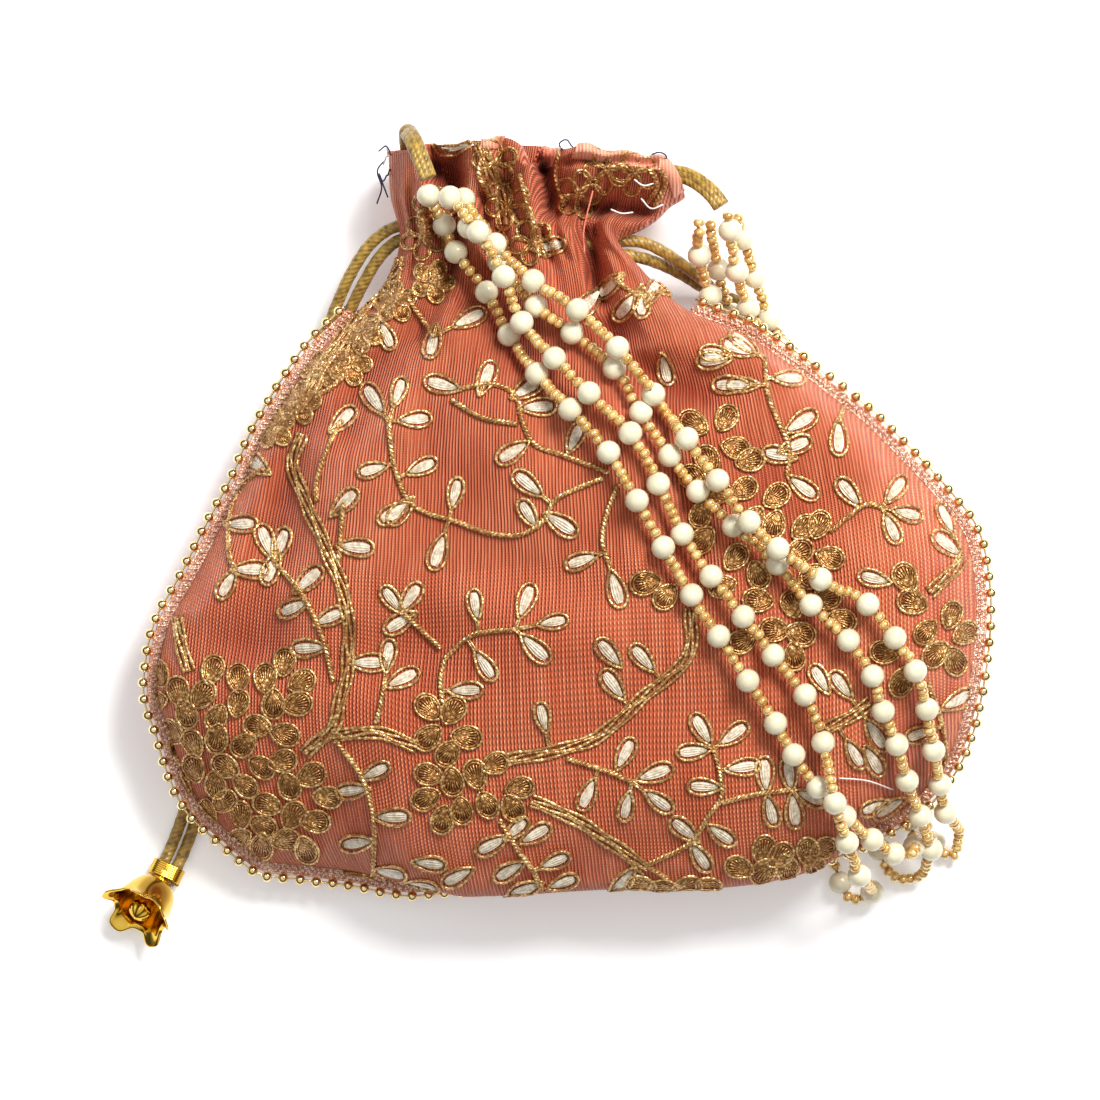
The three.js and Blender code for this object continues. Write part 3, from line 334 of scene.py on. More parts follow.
def crown(u):
    """The share of the full height that the cloth has across the bag, none at the seams."""
    return np.sqrt(np.maximum(0, 1 - np.abs(2 * u - 1) ** side_fullness))


def slit(u, w):
    """The seams stand open at the two ends of the drawstring tunnel."""
    first, last = slit_rows
    is_open = smooth((w - first) / 0.015) * (1 - smooth((w - last) / 0.02))
    return slit_half_height * is_open * (1 - crown(u))


def turn_at(w):
    """The angle by which the cloth has turned down towards the bottom seam."""
    return np.maximum(0, (w - turn_row) / (1 - turn_row)) * math.pi / 2


def front_surface(u, w):
    """A place of the front: u from the left seam to the right, w from mouth to bottom."""
    turn = turn_at(w)
    seam_row = np.where(w < turn_row, w, turn_row + (1 - turn_row) * np.sin(turn))
    tuck_share = smooth((u - tuck_from) / 0.18) * smooth((tuck_to - u) / 0.12)
    v = seam_row + (1 - turn_row) * bottom_tuck * tuck_share * np.sin(2 * turn) ** 2
    p = seam_plane(u, v)
    gathered = neck_half_height + mouth_flare * smooth(1 - w / neck_row)
    rise = mix(gathered, belly_height, smooth((w - neck_row) / (belly_row - neck_row)))
    p[..., 2] += crown(u) * rise * np.cos(turn)
    from_seam = (1 - np.abs(2 * u - 1)) * half_width(v)
    soft = smooth(from_seam / fold_fade) * np.cos(turn)
    gathered_share = 1 + neck_fold_boost * np.exp(-((w / 0.2) ** 2))
    p[..., 2] += fold_lift(p, folds) * gathered_share * soft + gap + slit(u, w)
    deeper = 1 + neck_crease_boost * np.exp(-((w / 0.24) ** 2))
    flat_seam = smooth(from_seam / crease_fade)
    p[..., 2] += fold_lift(p, creases) * deeper * flat_seam * np.cos(turn)
    at_neck = np.exp(-(((w - neck_row) / gather_reach) ** 2))
    gathers = np.cos(u * gather_turns + 5 * np.sin(u * 9)) * at_neck
    p[..., 2] += gather_depth * gathers * flat_seam
    pucker = np.cos(w * pucker_turns + 3 * np.sin(w * 40)) * np.exp(-from_seam / crease_fade)
    p[..., 2] += pucker_depth * pucker * smooth(from_seam / pucker_reach) * (w > pucker_row)
    frill = smooth((frill_end - w) / frill_end)
    p[..., 1] += frill * (frill_wave * np.sin(u * 23) + frill_ripple * np.sin(u * 51 + 1))
    notch = np.exp(-(((u - notch_place) / notch_half_width) ** 2))
    notch *= smooth((notch_end - w) / notch_end)
    p[..., 1] -= notch_depth * notch + frill_drop * frill
    return p


def crumple(points, strength, size):
    """Small uneven hollows, as in cloth that has been handled."""
    flat = points.reshape(-1, 3)
    lift = [noise.noise(Vector(p / size)) + 0.5 * noise.noise(Vector(p / size * 2.3)) for p in flat]
    return strength * np.array(lift).reshape(points.shape[:-1])


def pick(made):
    """Makes a piece the only selected and the active one."""
    bpy.ops.object.select_all(action="DESELECT")
    made.select_set(True)
    bpy.context.view_layer.objects.active = made


nearly_upright = 0.3
same_place = 1e-7


class Shape:
    """Gathers grids of points and becomes one mesh object."""

    def __init__(self):
        self.points = []
        self.faces = []
        self.flat = []
        self.count = 0

    def grid(self, points, round_it=False, flat=None):
        rows, columns = points.shape[:2]
        at = self.count + np.arange(rows * columns).reshape(rows, columns)
        if round_it:
            at = np.hstack([at, at[:, :1]])
        quads = np.stack([at[:-1, :-1], at[1:, :-1], at[1:, 1:], at[:-1, 1:]], -1)
        self.faces.extend(map(tuple, quads.reshape(-1, 4).tolist()))
        self.points.append(points.reshape(-1, 3))
        self.flat.append(np.zeros((rows * columns, 2)) if flat is None else flat.reshape(-1, 2))
        self.count += rows * columns

    def solids(self, points, faces, places):
        """The same small solid once at every place: an array of 3 by 3 turns and of centres."""
        turns, centres = places
        every = np.einsum("nij,pj->npi", turns, points) + centres[:, None]
        for k in range(len(centres)):
            self.faces.extend(tuple(self.count + i for i in face) for face in faces)
            self.count += len(points)
        self.points.append(every.reshape(-1, 3))
        self.flat.append(np.zeros((every.shape[0] * every.shape[1], 2)))

    def tube(self, line, radius, sides=8):
        """A tube along a line of points, closed by drawing both ends in to a point."""
        line = np.asarray(line, float)
        radius = np.broadcast_to(radius, len(line)).astype(float)
        along = unit(np.gradient(line, axis=0))
        level = np.cross(along, (0, 0, 1))
        steep = np.linalg.norm(level, axis=1) < nearly_upright
        level[steep] = np.cross(along[steep], (0, 1, 0))
        for i in range(1, len(level)):
            if level[i] @ level[i - 1] < 0:
                level[i] = -level[i]
        level = unit(level)
        rise = np.cross(level, along)
        angle = np.arange(sides) * 2 * math.pi / sides
        ring = level[:, None] * np.cos(angle)[:, None] + rise[:, None] * np.sin(angle)[:, None]
        rings = line[:, None] + ring * radius[:, None, None]
        first = np.repeat(line[:1, None], sides, 1)
        last = np.repeat(line[-1:, None], sides, 1)
        way = np.concatenate([[0], np.cumsum(np.linalg.norm(np.diff(line, axis=0), axis=1))])
        way = np.concatenate([way[:1], way, way[-1:]])
        flat = np.stack(np.broadcast_arrays(angle[None] / math.tau, way[:, None]), -1)
        self.grid(np.concatenate([first, rings, last]), round_it=True, flat=flat)

    def object(self, name, material, slot, replaced=(), painted_shade=None):
        mesh = bpy.data.meshes.new(name)
        mesh.from_pydata(np.vstack(self.points).tolist(), [], self.faces)
        corners = np.zeros(len(mesh.loops), np.int64)
        mesh.loops.foreach_get("vertex_index", corners)
        layer = mesh.uv_layers.new(name="flat")
        layer.data.foreach_set("uv", np.vstack(self.flat)[corners].ravel())
        # A mask of painted shade for the fold valleys, which the silk's colour reads
        if painted_shade is not None:
            depth = mesh.attributes.new(name="painted_shade", type="FLOAT", domain="POINT")
            depth.data.foreach_set("value", np.ravel(painted_shade))
        mesh.materials.append(material)
        made = bpy.data.objects.new(name, mesh)
        bpy.context.scene.collection.objects.link(made)
        pick(made)
        bpy.ops.object.mode_set(mode="EDIT")
        bpy.ops.mesh.select_all(action="SELECT")
        bpy.ops.mesh.remove_doubles(threshold=same_place)
        bpy.ops.object.mode_set(mode="OBJECT")
        bpy.ops.object.shade_smooth()
        if replaced:
            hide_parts(*replaced)
        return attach(made, "root")


def apply_modifier(made, kind, **settings):
    modifier = made.modifiers.new(kind.lower(), kind)
    for key, value in settings.items():
        setattr(modifier, key, value)
    bpy.context.view_layer.objects.active = made
    bpy.ops.object.modifier_apply(modifier=modifier.name)


def nodes_of(name, **constants):
    material = bpy.data.materials.new(name)
    material.use_nodes = True
    tree = material.node_tree
    shader = tree.nodes["Principled BSDF"]
    for socket, value in constants.items():
        shader.inputs[socket.replace("_", " ")].default_value = value
    return material, tree, shader


def wire(tree, kind, inputs=None, **settings):
    """A node with its settings and inputs; an input is a value or another node's socket."""
    node = tree.nodes.new(kind)
    for key, value in settings.items():
        setattr(node, key, value)
    for key, value in (inputs or {}).items():
        if isinstance(value, bpy.types.NodeSocket):
            tree.links.new(value, node.inputs[key])
        else:
            node.inputs[key].default_value = value
    return node


def ramp(tree, factor, stops):
    node = wire(tree, "ShaderNodeValToRGB", {"Fac": factor})
    band = node.color_ramp
    while len(band.elements) < len(stops):
        band.elements.new(0.5)
    for element, (place, color) in zip(band.elements, stops):
        element.position = place
        element.color = (*color, 1)
    return node.outputs["Color"]


def bump(tree, shader, height, distance):
    settings = {"Height": height, "Distance": distance, "Strength": 1.0}
    node = wire(tree, "ShaderNodeBump", settings)
    tree.links.new(node.outputs["Normal"], shader.inputs["Normal"])


def math_node(tree, operation, a, b=0.5, c=0.5):
    return wire(tree, "ShaderNodeMath", {0: a, 1: b, 2: c}, operation=operation).outputs[0]


def shared_effect(name, inputs, outputs):
    """An empty node group with a vector called Place and named numbers."""
    tree = bpy.data.node_groups.new(name, "ShaderNodeTree")
    tree.interface.new_socket("Place", in_out="INPUT", socket_type="NodeSocketVector")
    for way, sockets in (("INPUT", inputs), ("OUTPUT", outputs)):
        for socket in sockets:
            tree.interface.new_socket(socket, in_out=way, socket_type="NodeSocketFloat")
    return tree, tree.nodes.new("NodeGroupInput").outputs, tree.nodes.new("NodeGroupOutput").inputs


# Ribs down the cloth, finer ribs across them, slubs along the threads and broad patches. The
# ribs also make the colour lighter on their crests and darker between them, as painted
# highlight and painted shade; slubs and patches vary it at random.
sway_width = 0.0012
weave, given, result = shared_effect("weave", ["Pitch"], ["Tone", "Height"])
parts = wire(weave, "ShaderNodeSeparateXYZ", {"Vector": given["Place"]}).outputs
sway = wire(weave, "ShaderNodeTexNoise", {"Vector": given["Place"], "Scale": 60.0, "Detail": 2.0})
bent = math_node(weave, "MULTIPLY_ADD", sway.outputs["Fac"], sway_width, parts["X"])
often = math_node(weave, "DIVIDE", math.tau, given["Pitch"])
ribs = math_node(weave, "SINE", math_node(weave, "MULTIPLY", bent, often))
closer = math_node(weave, "MULTIPLY", often, 1.6)
across = math_node(weave, "SINE", math_node(weave, "MULTIPLY", parts["Y"], closer))
crossed = math_node(weave, "MULTIPLY", across, ribs)
height = math_node(weave, "MULTIPLY_ADD", across, 0.16, ribs)
height = math_node(weave, "MULTIPLY_ADD", crossed, 0.35, height)
long_way = wire(weave, "ShaderNodeMapping", {"Vector": given["Place"], "Scale": (1150.0, 60.0, 1.0)})
slub = wire(
    weave, "ShaderNodeTexNoise", {"Vector": long_way.outputs["Vector"], "Scale": 1.0, "Detail": 3.0}
)
patch = wire(weave, "ShaderNodeTexNoise", {"Vector": given["Place"], "Scale": 28.0, "Detail": 3.0})
tone = math_node(weave, "MULTIPLY_ADD", slub.outputs["Fac"], 0.42, 0.12)
# Painted highlight and shade: the weave's crests lighten the colour and its gaps darken it
tone = math_node(weave, "MULTIPLY_ADD", height, 0.15, tone)
tone = math_node(weave, "MULTIPLY_ADD", patch.outputs["Fac"], 0.34, tone)
weave.links.new(tone, result["Tone"])
weave.links.new(height, result["Height"])


def effect(tree, group, **values):
    return wire(tree, "ShaderNodeGroup", values, node_tree=group).outputs


def woven_silk(name, shades, rib_pitch, rib_depth):
    """Dupion silk: fine ribs down the cloth with painted light and shade on them, slubs along them,
    and painted shade in the valleys of its folds.
    """
    material, tree, shader = nodes_of(name, Roughness=0.42, Sheen_Weight=0.05)
    shader.inputs["Sheen Roughness"].default_value = 0.4
    shader.inputs["Specular IOR Level"].default_value = 0.3
    cloth = wire(tree, "ShaderNodeUVMap", uv_map="flat").outputs["UV"]
    woven = effect(tree, weave, Place=cloth, Pitch=rib_pitch)
    color = ramp(tree, woven["Tone"], shades)
    painted_shade = wire(tree, "ShaderNodeAttribute", attribute_name="painted_shade").outputs["Fac"]
    # Painted shade: the colour is multiplied towards dark red where the mask marks a deep fold
    # valley or crease
    share = math_node(tree, "MULTIPLY", painted_shade, 0.75)
    painted_shade_mix = wire(tree, "ShaderNodeMix", {0: share, 6: color}, data_type="RGBA", blend_type="MULTIPLY")
    painted_shade_mix.inputs[7].default_value = (0.45, 0.2, 0.16, 1)
    tree.links.new(painted_shade_mix.outputs[2], shader.inputs["Base Color"])
    bump(tree, shader, woven["Height"], rib_depth)
    return material


# From dark to pale: painted shade between the ribs, the silk's own coral with its random slubs, and
# painted highlight on the rib crests
coral_shades = [
    (0.2, (0.27, 0.032, 0.012)),
    (0.42, (0.54, 0.1, 0.04)),
    (0.6, (0.77, 0.2, 0.09)),
    (0.85, (1.0, 0.54, 0.32)),
]
silk = woven_silk("coral_silk", coral_shades, rib_pitch=0.0012, rib_depth=0.00024)
rib_fan = 0.35
rib_fall = 0.3
rib_stretch = 1.2
closer_at_seams = 0.7


def panel_grid(surface, columns, rows):
    """A panel's points, and the flat cloth's own two ways for its weave, fanned at the neck."""
    w, u = np.meshgrid(rows, columns, indexing="ij")
    points = surface(u, w)
    fanned = points[..., 0] + rib_fan * (u - 0.5) * bag_width + rib_fall * points[..., 2]
    flat = np.stack([fanned, w * bag_length * rib_stretch], -1)
    return points, flat


def thick_panel(shape, name, material, slot, replaced, painted_shade=None):
    """A shape that becomes cloth of the right thickness, grown inwards."""
    made = shape.object(name, material, slot, replaced, painted_shade)
    apply_modifier(made, "SOLIDIFY", thickness=cloth_thickness, offset=-1)


def cross_steps(count):
    """Steps across a panel that stand closer at its seams."""
    even = np.linspace(0, 1, count)
    return mix(even, (1 - np.cos(math.pi * even)) / 2, closer_at_seams)


front_columns = cross_steps(200)
front_rows = np.concatenate([np.linspace(0, 0.3, 90)[:-1], np.linspace(0.3, 1, 130)])
edge_share = 0.05
front_points, front_flat = panel_grid(front_surface, front_columns, front_rows)
edge_fade = smooth(np.minimum(front_columns, 1 - front_columns) / edge_share)[None]
edge_fade = edge_fade * smooth((1 - front_rows) / edge_share)[:, None]
front_points[..., 2] += crumple(front_points, strength=0.0006, size=0.016) * edge_fade
front_shape = Shape()
front_shape.grid(front_points, flat=front_flat)
# Painted shade in the folds: the deeper a point lies in a fold valley or crease, the darker its silk
# is painted
front_lift = fold_lift(front_points, folds) + 1.6 * fold_lift(front_points, creases)
painted_shade = np.clip(-front_lift / full_shade_depth, 0, 1)
thick_panel(front_shape, "front_silk", silk, "coral_silk", ["front_panel"], painted_shade)

# The front's height on a fine grid, read once. What is sewn on or lies on it rests there.
map_step = 0.0005
map_low = np.array([-0.108, -0.1])
map_size = (432, 400)
map_top = 0.2
lowest_cloth = 0.001
edge_search = 45
edge_stretch = 0.12
front_tree = BVHTree.FromPolygons(
    np.vstack(front_shape.points).tolist(), front_shape.faces, all_triangles=False
)
height_map = np.zeros(map_size)
for i in range(map_size[0]):
    for j in range(map_size[1]):
        x, y = map_low + map_step * np.array([i, j])
        hit = front_tree.ray_cast(Vector((x, y, map_top)), Vector((0, 0, -1)))[0]
        height_map[i, j] = hit.z if hit else 0.0
has_cloth = height_map > lowest_cloth
# For a place past the cloth's edge, the nearest cell that has cloth
nearest_cell = np.stack(np.indices(map_size), -1)
reached = has_cloth.copy()
for _ in range(edge_search):
    for axis, step in ((0, 1), (0, -1), (1, 1), (1, -1)):
        newly = np.roll(reached, step, axis) & ~reached
        nearest_cell[newly] = np.roll(nearest_cell, step, axis)[newly]
        reached |= newly


def onto_cloth(xy):
    """The places with their cloth heights, those past the edge brought back to it."""
    xy = np.asarray(xy)[..., :2]
    cell = np.clip(((xy - map_low) / map_step).astype(int), 0, np.array(map_size) - 1)
    inside = has_cloth[cell[..., 0], cell[..., 1]]
    near = nearest_cell[cell[..., 0], cell[..., 1]]
    edge = map_low + map_step * near
    xy = np.where(inside[..., None], xy, edge + (xy - edge) * edge_stretch)
    height = np.where(inside, cloth_height(xy), height_map[near[..., 0], near[..., 1]])
    return np.concatenate([xy, height[..., None]], -1)


def cloth_height(xy):
    """The height of the front under each place, between the cells of the grid."""
    place = (np.asarray(xy)[..., :2] - map_low) / map_step
    i = np.clip(place[..., 0].astype(int), 0, map_size[0] - 2)
    j = np.clip(place[..., 1].astype(int), 0, map_size[1] - 2)
    s = np.clip(place[..., 0] - i, 0, 1)
    t = np.clip(place[..., 1] - j, 0, 1)
    near = mix(height_map[i, j], height_map[i + 1, j], s)
    far = mix(height_map[i, j + 1], height_map[i + 1, j + 1], s)
    corners = [height_map[i, j], height_map[i + 1, j], height_map[i, j + 1]]
    level = mix(near, far, t)
    return np.where(np.min(corners, axis=0) > lowest_cloth, level, np.max(corners, axis=0))


# Back panel
# The same silk, pleated at the neck and lying on the floor. It comes up to the seam all
# round, and its upper lip shows behind the frill.
left_reach = 0.042
right_reach = 0.095
bottom_reach = 0.036
back_pleats = 7
back_pleat_depth = 0.0012


def back_surface(u, w):
    """A place of the back panel, with the same u and w."""
    p = seam_plane(u, w)
    from_seam = (1 - np.abs(2 * u - 1)) * half_width(w)
    reach = np.where(u < 0.5, left_reach, right_reach)
    side = np.maximum(0, 1 - from_seam / reach)
    bottom = np.maximum(0, 1 - (1 - w) * bag_length / bottom_reach)
    edge = side + bottom - side * bottom
    lying = p[..., 2] * edge ** mix(2, 1.3, smooth(u * 2 - 0.5))
    pleat = back_pleat_depth * np.cos(2 * math.pi * back_pleats * u)
    neck = p[..., 2] - crown(u) * (neck_back_drop + pleat)
    p[..., 2] = mix(neck, lying, smooth((w - neck_row) / (flat_row - neck_row))) - slit(u, w)
    return p


back_points, back_flat = panel_grid(back_surface, cross_steps(110), np.linspace(0, 1, 120))
back_shape = Shape()
back_shape.grid(back_points[::-1], flat=back_flat[::-1])
thick_panel(back_shape, "back_silk", silk, "coral_silk", ["back_panel"])


# Lining
# A dark cotton bag inside the panels, gathered with them at the neck. It is seen only down
# the folds of the mouth.
lining_shades = [(0.2, (0.2, 0.025, 0.015)), (0.6, (0.45, 0.09, 0.05)), (0.9, (0.6, 0.18, 0.11))]
lining_cloth = woven_silk("lining_cotton", lining_shades, rib_pitch=0.0006, rib_depth=0.00005)
lining_neck_half_height = 0.0042
lining_neck_half_width = 0.0124
lining_mouth_row = 0.05
lining_belly_share = 0.93
lining_bottom_row = 0.95
lining_fullness = 0.72
lining_lift = 0.0024
lining_front_gap = 0.003
lining_open_row = 0.17
lining_wide_row = 0.42
neck_middle = np.array(spot((508, 243, 0.017)))


def lining_surface(side):
    def surface(u, w):
        opened = smooth((w - lining_open_row) / (lining_wide_row - lining_open_row))[..., None]
        in_w = w * lining_bottom_row
        in_u = 0.5 + (u - 0.5) * lining_belly_share
        middle = seam_plane(in_u, in_w)
        floor = back_surface(in_u, in_w)[..., 2] + lining_lift
        front_z = front_surface(in_u, in_w)[..., 2] - lining_front_gap
        closing = np.sqrt(np.maximum(0, 1 - w**6)) * crown(u)
        top = floor + np.maximum(0, front_z - floor) * lining_fullness * closing
        bag = np.stack([middle[..., 0], middle[..., 1], top if side > 0 else floor], -1)
        neck = np.stack(
            [
                neck_middle[0] + (2 * u - 1) * lining_neck_half_width,
                seam_plane(np.full_like(u, 0.5), in_w)[..., 1],
                neck_middle[2] + side * lining_neck_half_height * crown(u),
            ],
            -1,
        )
        return mix(neck, bag, opened)

    return surface


lining_shape = Shape()
for side in (1, -1):
    points, flat = panel_grid(
        lining_surface(side), cross_steps(40), np.linspace(lining_mouth_row, 1, 60)
    )
    lining_shape.grid(points[::side], flat=flat[::side])
thick_panel(lining_shape, "lining_bag", lining_cloth, "lining_cotton", ["lining"])


# Seam trim
# A net edging of two crossing threads, sewn beside the seam, and outside it small gilt
# beads on a thread, all the way round from the left side of the neck to the right.
trim_start = 4
trim_points = [left_line[trim_start:], bottom_line[1:-1], right_line[:trim_start - 1:-1]]
trim_line = Line(np.vstack(trim_points))
bead_pitch = 0.0041
net_mesh = 0.0015
net_width = 0.0011
net_tuck = 0.92
net_thread = 0.00036
bead_thread = 0.00028


def outside_of(points):
    """The level way out of the bag at each point of the seam."""
    along = unit(np.gradient(points, axis=0) * (1, 1, 0))
    return np.stack([along[:, 1], -along[:, 0], 0 * along[:, 0]], -1)


# Round turns of metal wire, with painted highlight on top of each turn and painted shade between
# them, over random patches
turn_light_and_patches, given, result = shared_effect("turn_light_and_patches", ["Grain"], ["Tone", "Height"])
turns = wire(turn_light_and_patches, "ShaderNodeTexVoronoi", {"Vector": given["Place"], "Scale": given["Grain"]})
wide_grain = math_node(turn_light_and_patches, "MULTIPLY", given["Grain"], 0.12)
patch = wire(turn_light_and_patches, "ShaderNodeTexNoise", {"Vector": given["Place"], "Scale": wide_grain})
# Painted light: bright in the middle of each turn, dark at its edges, shifted by random patches
tone = math_node(turn_light_and_patches, "MULTIPLY_ADD", patch.outputs["Fac"], 0.8, turns.outputs["Distance"])
turn_light_and_patches.links.new(math_node(turn_light_and_patches, "SUBTRACT", tone, 0.3), result["Tone"])
turn_light_and_patches.links.new(turns.outputs["Distance"], result["Height"])


def metallic_thread(name, shades, grain, metallic, roughness):
    """Wound metal thread: bright and dark turns that follow each other closely, painted as highlight
    and shade.
    """
    material, tree, shader = nodes_of(name, Metallic=metallic, Roughness=roughness)
    place = wire(tree, "ShaderNodeTexCoord").outputs["Object"]
    wound = effect(tree, turn_light_and_patches, Place=place, Grain=grain)
    tree.links.new(ramp(tree, wound["Tone"], shades), shader.inputs["Base Color"])
    bump(tree, shader, wound["Height"], 0.00018)
    return material


# The palest shade is painted highlight on the wire's turns, the darkest painted shade between them
pale_zari = metallic_thread(
    "pale_zari",
    [(0.0, (1.0, 0.84, 0.7)), (0.4, (0.86, 0.58, 0.42)), (0.75, (0.55, 0.24, 0.15))],
    grain=1700.0,
    metallic=0.55,
    roughness=0.4,
)
trim_places = trim_line.even(0.0004)
trim_outside = outside_of(trim_places)
trim_way = np.linspace(0, trim_line.length, len(trim_places))
edging_middle = trim_places - trim_outside * edging_reach * net_tuck
edging = Shape()
for phase in (0, math.pi):
    swing = np.sin(trim_way / net_mesh * math.pi + phase)[:, None]
    lifted = np.cos(trim_way / net_mesh * math.pi + phase)[:, None] * (0, 0, 1)
    edging.tube(
        edging_middle + trim_outside * net_width * swing + lifted * net_thread * 0.5,
        net_thread,
        sides=5,
    )
for shift in (-net_width, 0, net_width):
    edging.tube(edging_middle[::3] + trim_outside[::3] * shift, net_thread * 1.1, sides=5)
edging.object("net_edging", pale_zari, "net_edging", ["seam_edging"])


def selected_by(mesh, wanted):
    """In edit mode, the vertices that the test wants, and no others."""
    bpy.ops.mesh.select_mode(type="VERT")
    bpy.ops.mesh.select_all(action="DESELECT")
    cage = bmesh.from_edit_mesh(mesh)
    for vertex in cage.verts:
        vertex.select = bool(wanted(vertex.co))
    cage.select_flush_mode()
    bmesh.update_edit_mesh(mesh)


def close_up(made):
    """Turns all faces outward and leaves edit mode."""
    bpy.ops.mesh.select_all(action="SELECT")
    bpy.ops.mesh.normals_make_consistent(inside=False)
    bpy.ops.object.mode_set(mode="OBJECT")
    bpy.ops.object.shade_smooth()


def pattern_of(made):
    """The points and faces of a modelled piece, whose own object is then removed."""
    points = np.array([v.co[:] for v in made.data.vertices])
    faces = [tuple(p.vertices) for p in made.data.polygons]
    bpy.data.objects.remove(made)
    return points, faces


def ball(name, around, along):
    """A unit ball, a little flat where its hole runs through."""
    bpy.ops.object.select_all(action="DESELECT")
    bpy.ops.mesh.primitive_uv_sphere_add(segments=around, ring_count=along, radius=1)
    made = bpy.context.active_object
    made.name = name
    bpy.ops.object.mode_set(mode="EDIT")
    selected_by(made.data, lambda co: abs(co.z) > 0.999)
    bpy.ops.transform.resize(value=(1, 1, 0.96))
    close_up(made)
    return pattern_of(made)


def turned(ways, sizes):
    """Turns that point a solid's +Z along each way, with its width and length."""
    up = unit(np.asarray(ways, float))
    side = unit(np.cross(up, (0.31, 0.2, 0.93)))
    third = np.cross(up, side)
    wide, long = sizes
    return np.stack([side * wide, third * wide, up * long], -1)


# A slow drift between two shades
drift, given, result = shared_effect("drift", ["Grain"], ["Tone"])
patch = wire(
    drift, "ShaderNodeTexNoise", {"Vector": given["Place"], "Scale": given["Grain"], "Detail": 2.0}
)
drift.links.new(patch.outputs["Fac"], result["Tone"])


def plain_finish(name, color, shade, grain, **constants):
    """One colour that drifts a little towards a second one."""
    material, tree, shader = nodes_of(name, **constants)
    place = wire(tree, "ShaderNodeTexCoord").outputs["Object"]
    tone = effect(tree, drift, Place=place, Grain=grain)["Tone"]
    shades = ramp(tree, tone, [(0.35, shade), (0.6, color)])
    tree.links.new(shades, shader.inputs["Base Color"])
    return material


bead_gold = plain_finish(
    "pale_gold_bead",
    (0.93, 0.76, 0.42),
    (0.78, 0.57, 0.25),
    grain=300.0,
    Roughness=0.13,
    Metallic=1.0,
)
bead_points, bead_faces = ball("seam_bead", 12, 6)
bead_count = round(trim_line.length / bead_pitch)
bead_places = trim_line.at((np.arange(bead_count) + 0.5) / bead_count)
bead_places = bead_places + rng.normal(0, 0.00008, bead_places.shape)
bead_ways = np.gradient(bead_places, axis=0)
seam_beads = Shape()
seam_beads.solids(
    bead_points,
    bead_faces,
    (turned(bead_ways, (seam_bead / 2 * 0.96, seam_bead / 2 * 0.92)), bead_places),
)
seam_beads.tube(trim_line.even(0.001), bead_thread, sides=6)
seam_beads.object("seam_beads_on_thread", bead_gold, "pale_gold_beads", ["seam_beads"])


# Embroidery
# Gold zari work, couched on the front by hand. Thick branches are four threads side by side,
# stems are two threads twisted together, leaves are a thread round a cream satin filling,
# and petals are a double thread round a fan of stitches. Places are in the drawing.
branches = [
    [(305, 435), (296, 464), (312, 507), (332, 551), (350, 600), (352, 660), (344, 700),
     (336, 725), (308, 750)],
    [(336, 733), (377, 728), (401, 735), (420, 742)],
    [(507, 756), (542, 749), (566, 744), (601, 730), (634, 700), (660, 678), (684, 655),
     (688, 607)],
    [(531, 796), (566, 810), (601, 832), (632, 855), (646, 865)],
    [(179, 616), (186, 645), (193, 670)],
    [(958, 557), (940, 577), (922, 592)],
    [(820, 726), (842, 714), (865, 699)],
    [(480, 150), (492, 175), (500, 205), (503, 228)],
    [(400, 262), (372, 296), (348, 330), (322, 372), (300, 412)],
]
stems = [
    [(345, 422), (334, 444), (321, 484), (321, 502)],
    [(392, 424), (399, 473), (417, 507), (458, 522), (489, 533), (520, 535), (543, 522),
     (554, 502), (574, 491), (601, 480)],
    [(453, 403), (485, 421), (518, 427)],
    [(460, 392), (496, 388), (516, 399), (523, 424), (534, 446), (561, 457), (590, 468),
     (607, 475)],
    [(616, 486), (605, 515), (601, 542), (607, 562)],
    [(265, 469), (238, 491), (232, 518), (234, 556), (240, 569)],
    [(278, 562), (303, 588), (325, 629), (338, 679)],
    [(343, 562), (346, 530), (348, 504)],
    [(380, 720), (385, 697), (387, 685)],
    [(341, 739), (363, 769), (374, 802), (376, 838), (372, 886)],
    [(443, 646), (404, 610)],
    [(447, 656), (474, 633), (516, 627)],
    [(447, 656), (443, 676), (445, 700)],
    [(566, 754), (604, 766), (630, 777)],
    [(500, 815), (519, 846), (533, 867), (542, 888)],
    [(648, 860), (688, 838), (707, 809), (718, 793), (715, 761), (710, 745)],
    [(718, 798), (750, 790), (787, 785)],
    [(760, 361), (764, 401), (775, 428), (784, 450), (782, 477)],
    [(824, 532), (842, 517), (860, 505), (875, 508)],
    [(842, 405), (833, 425)],
    [(921, 680), (935, 715), (948, 774)],
    [(646, 862), (667, 876)],
    [(408, 300), (424, 322), (436, 340)],
    [(610, 280), (640, 300), (668, 290)],
    [(300, 400), (330, 392), (352, 372)],
    [(520, 180), (530, 215), (538, 240), (545, 262)],
    [(560, 156), (556, 178), (564, 208)],
    [(484, 158), (480, 180), (490, 200)],
    [(652, 168), (664, 184), (654, 208)],
    [(646, 172), (656, 188), (646, 206)],
    [(404, 258), (398, 286), (380, 318)],
]
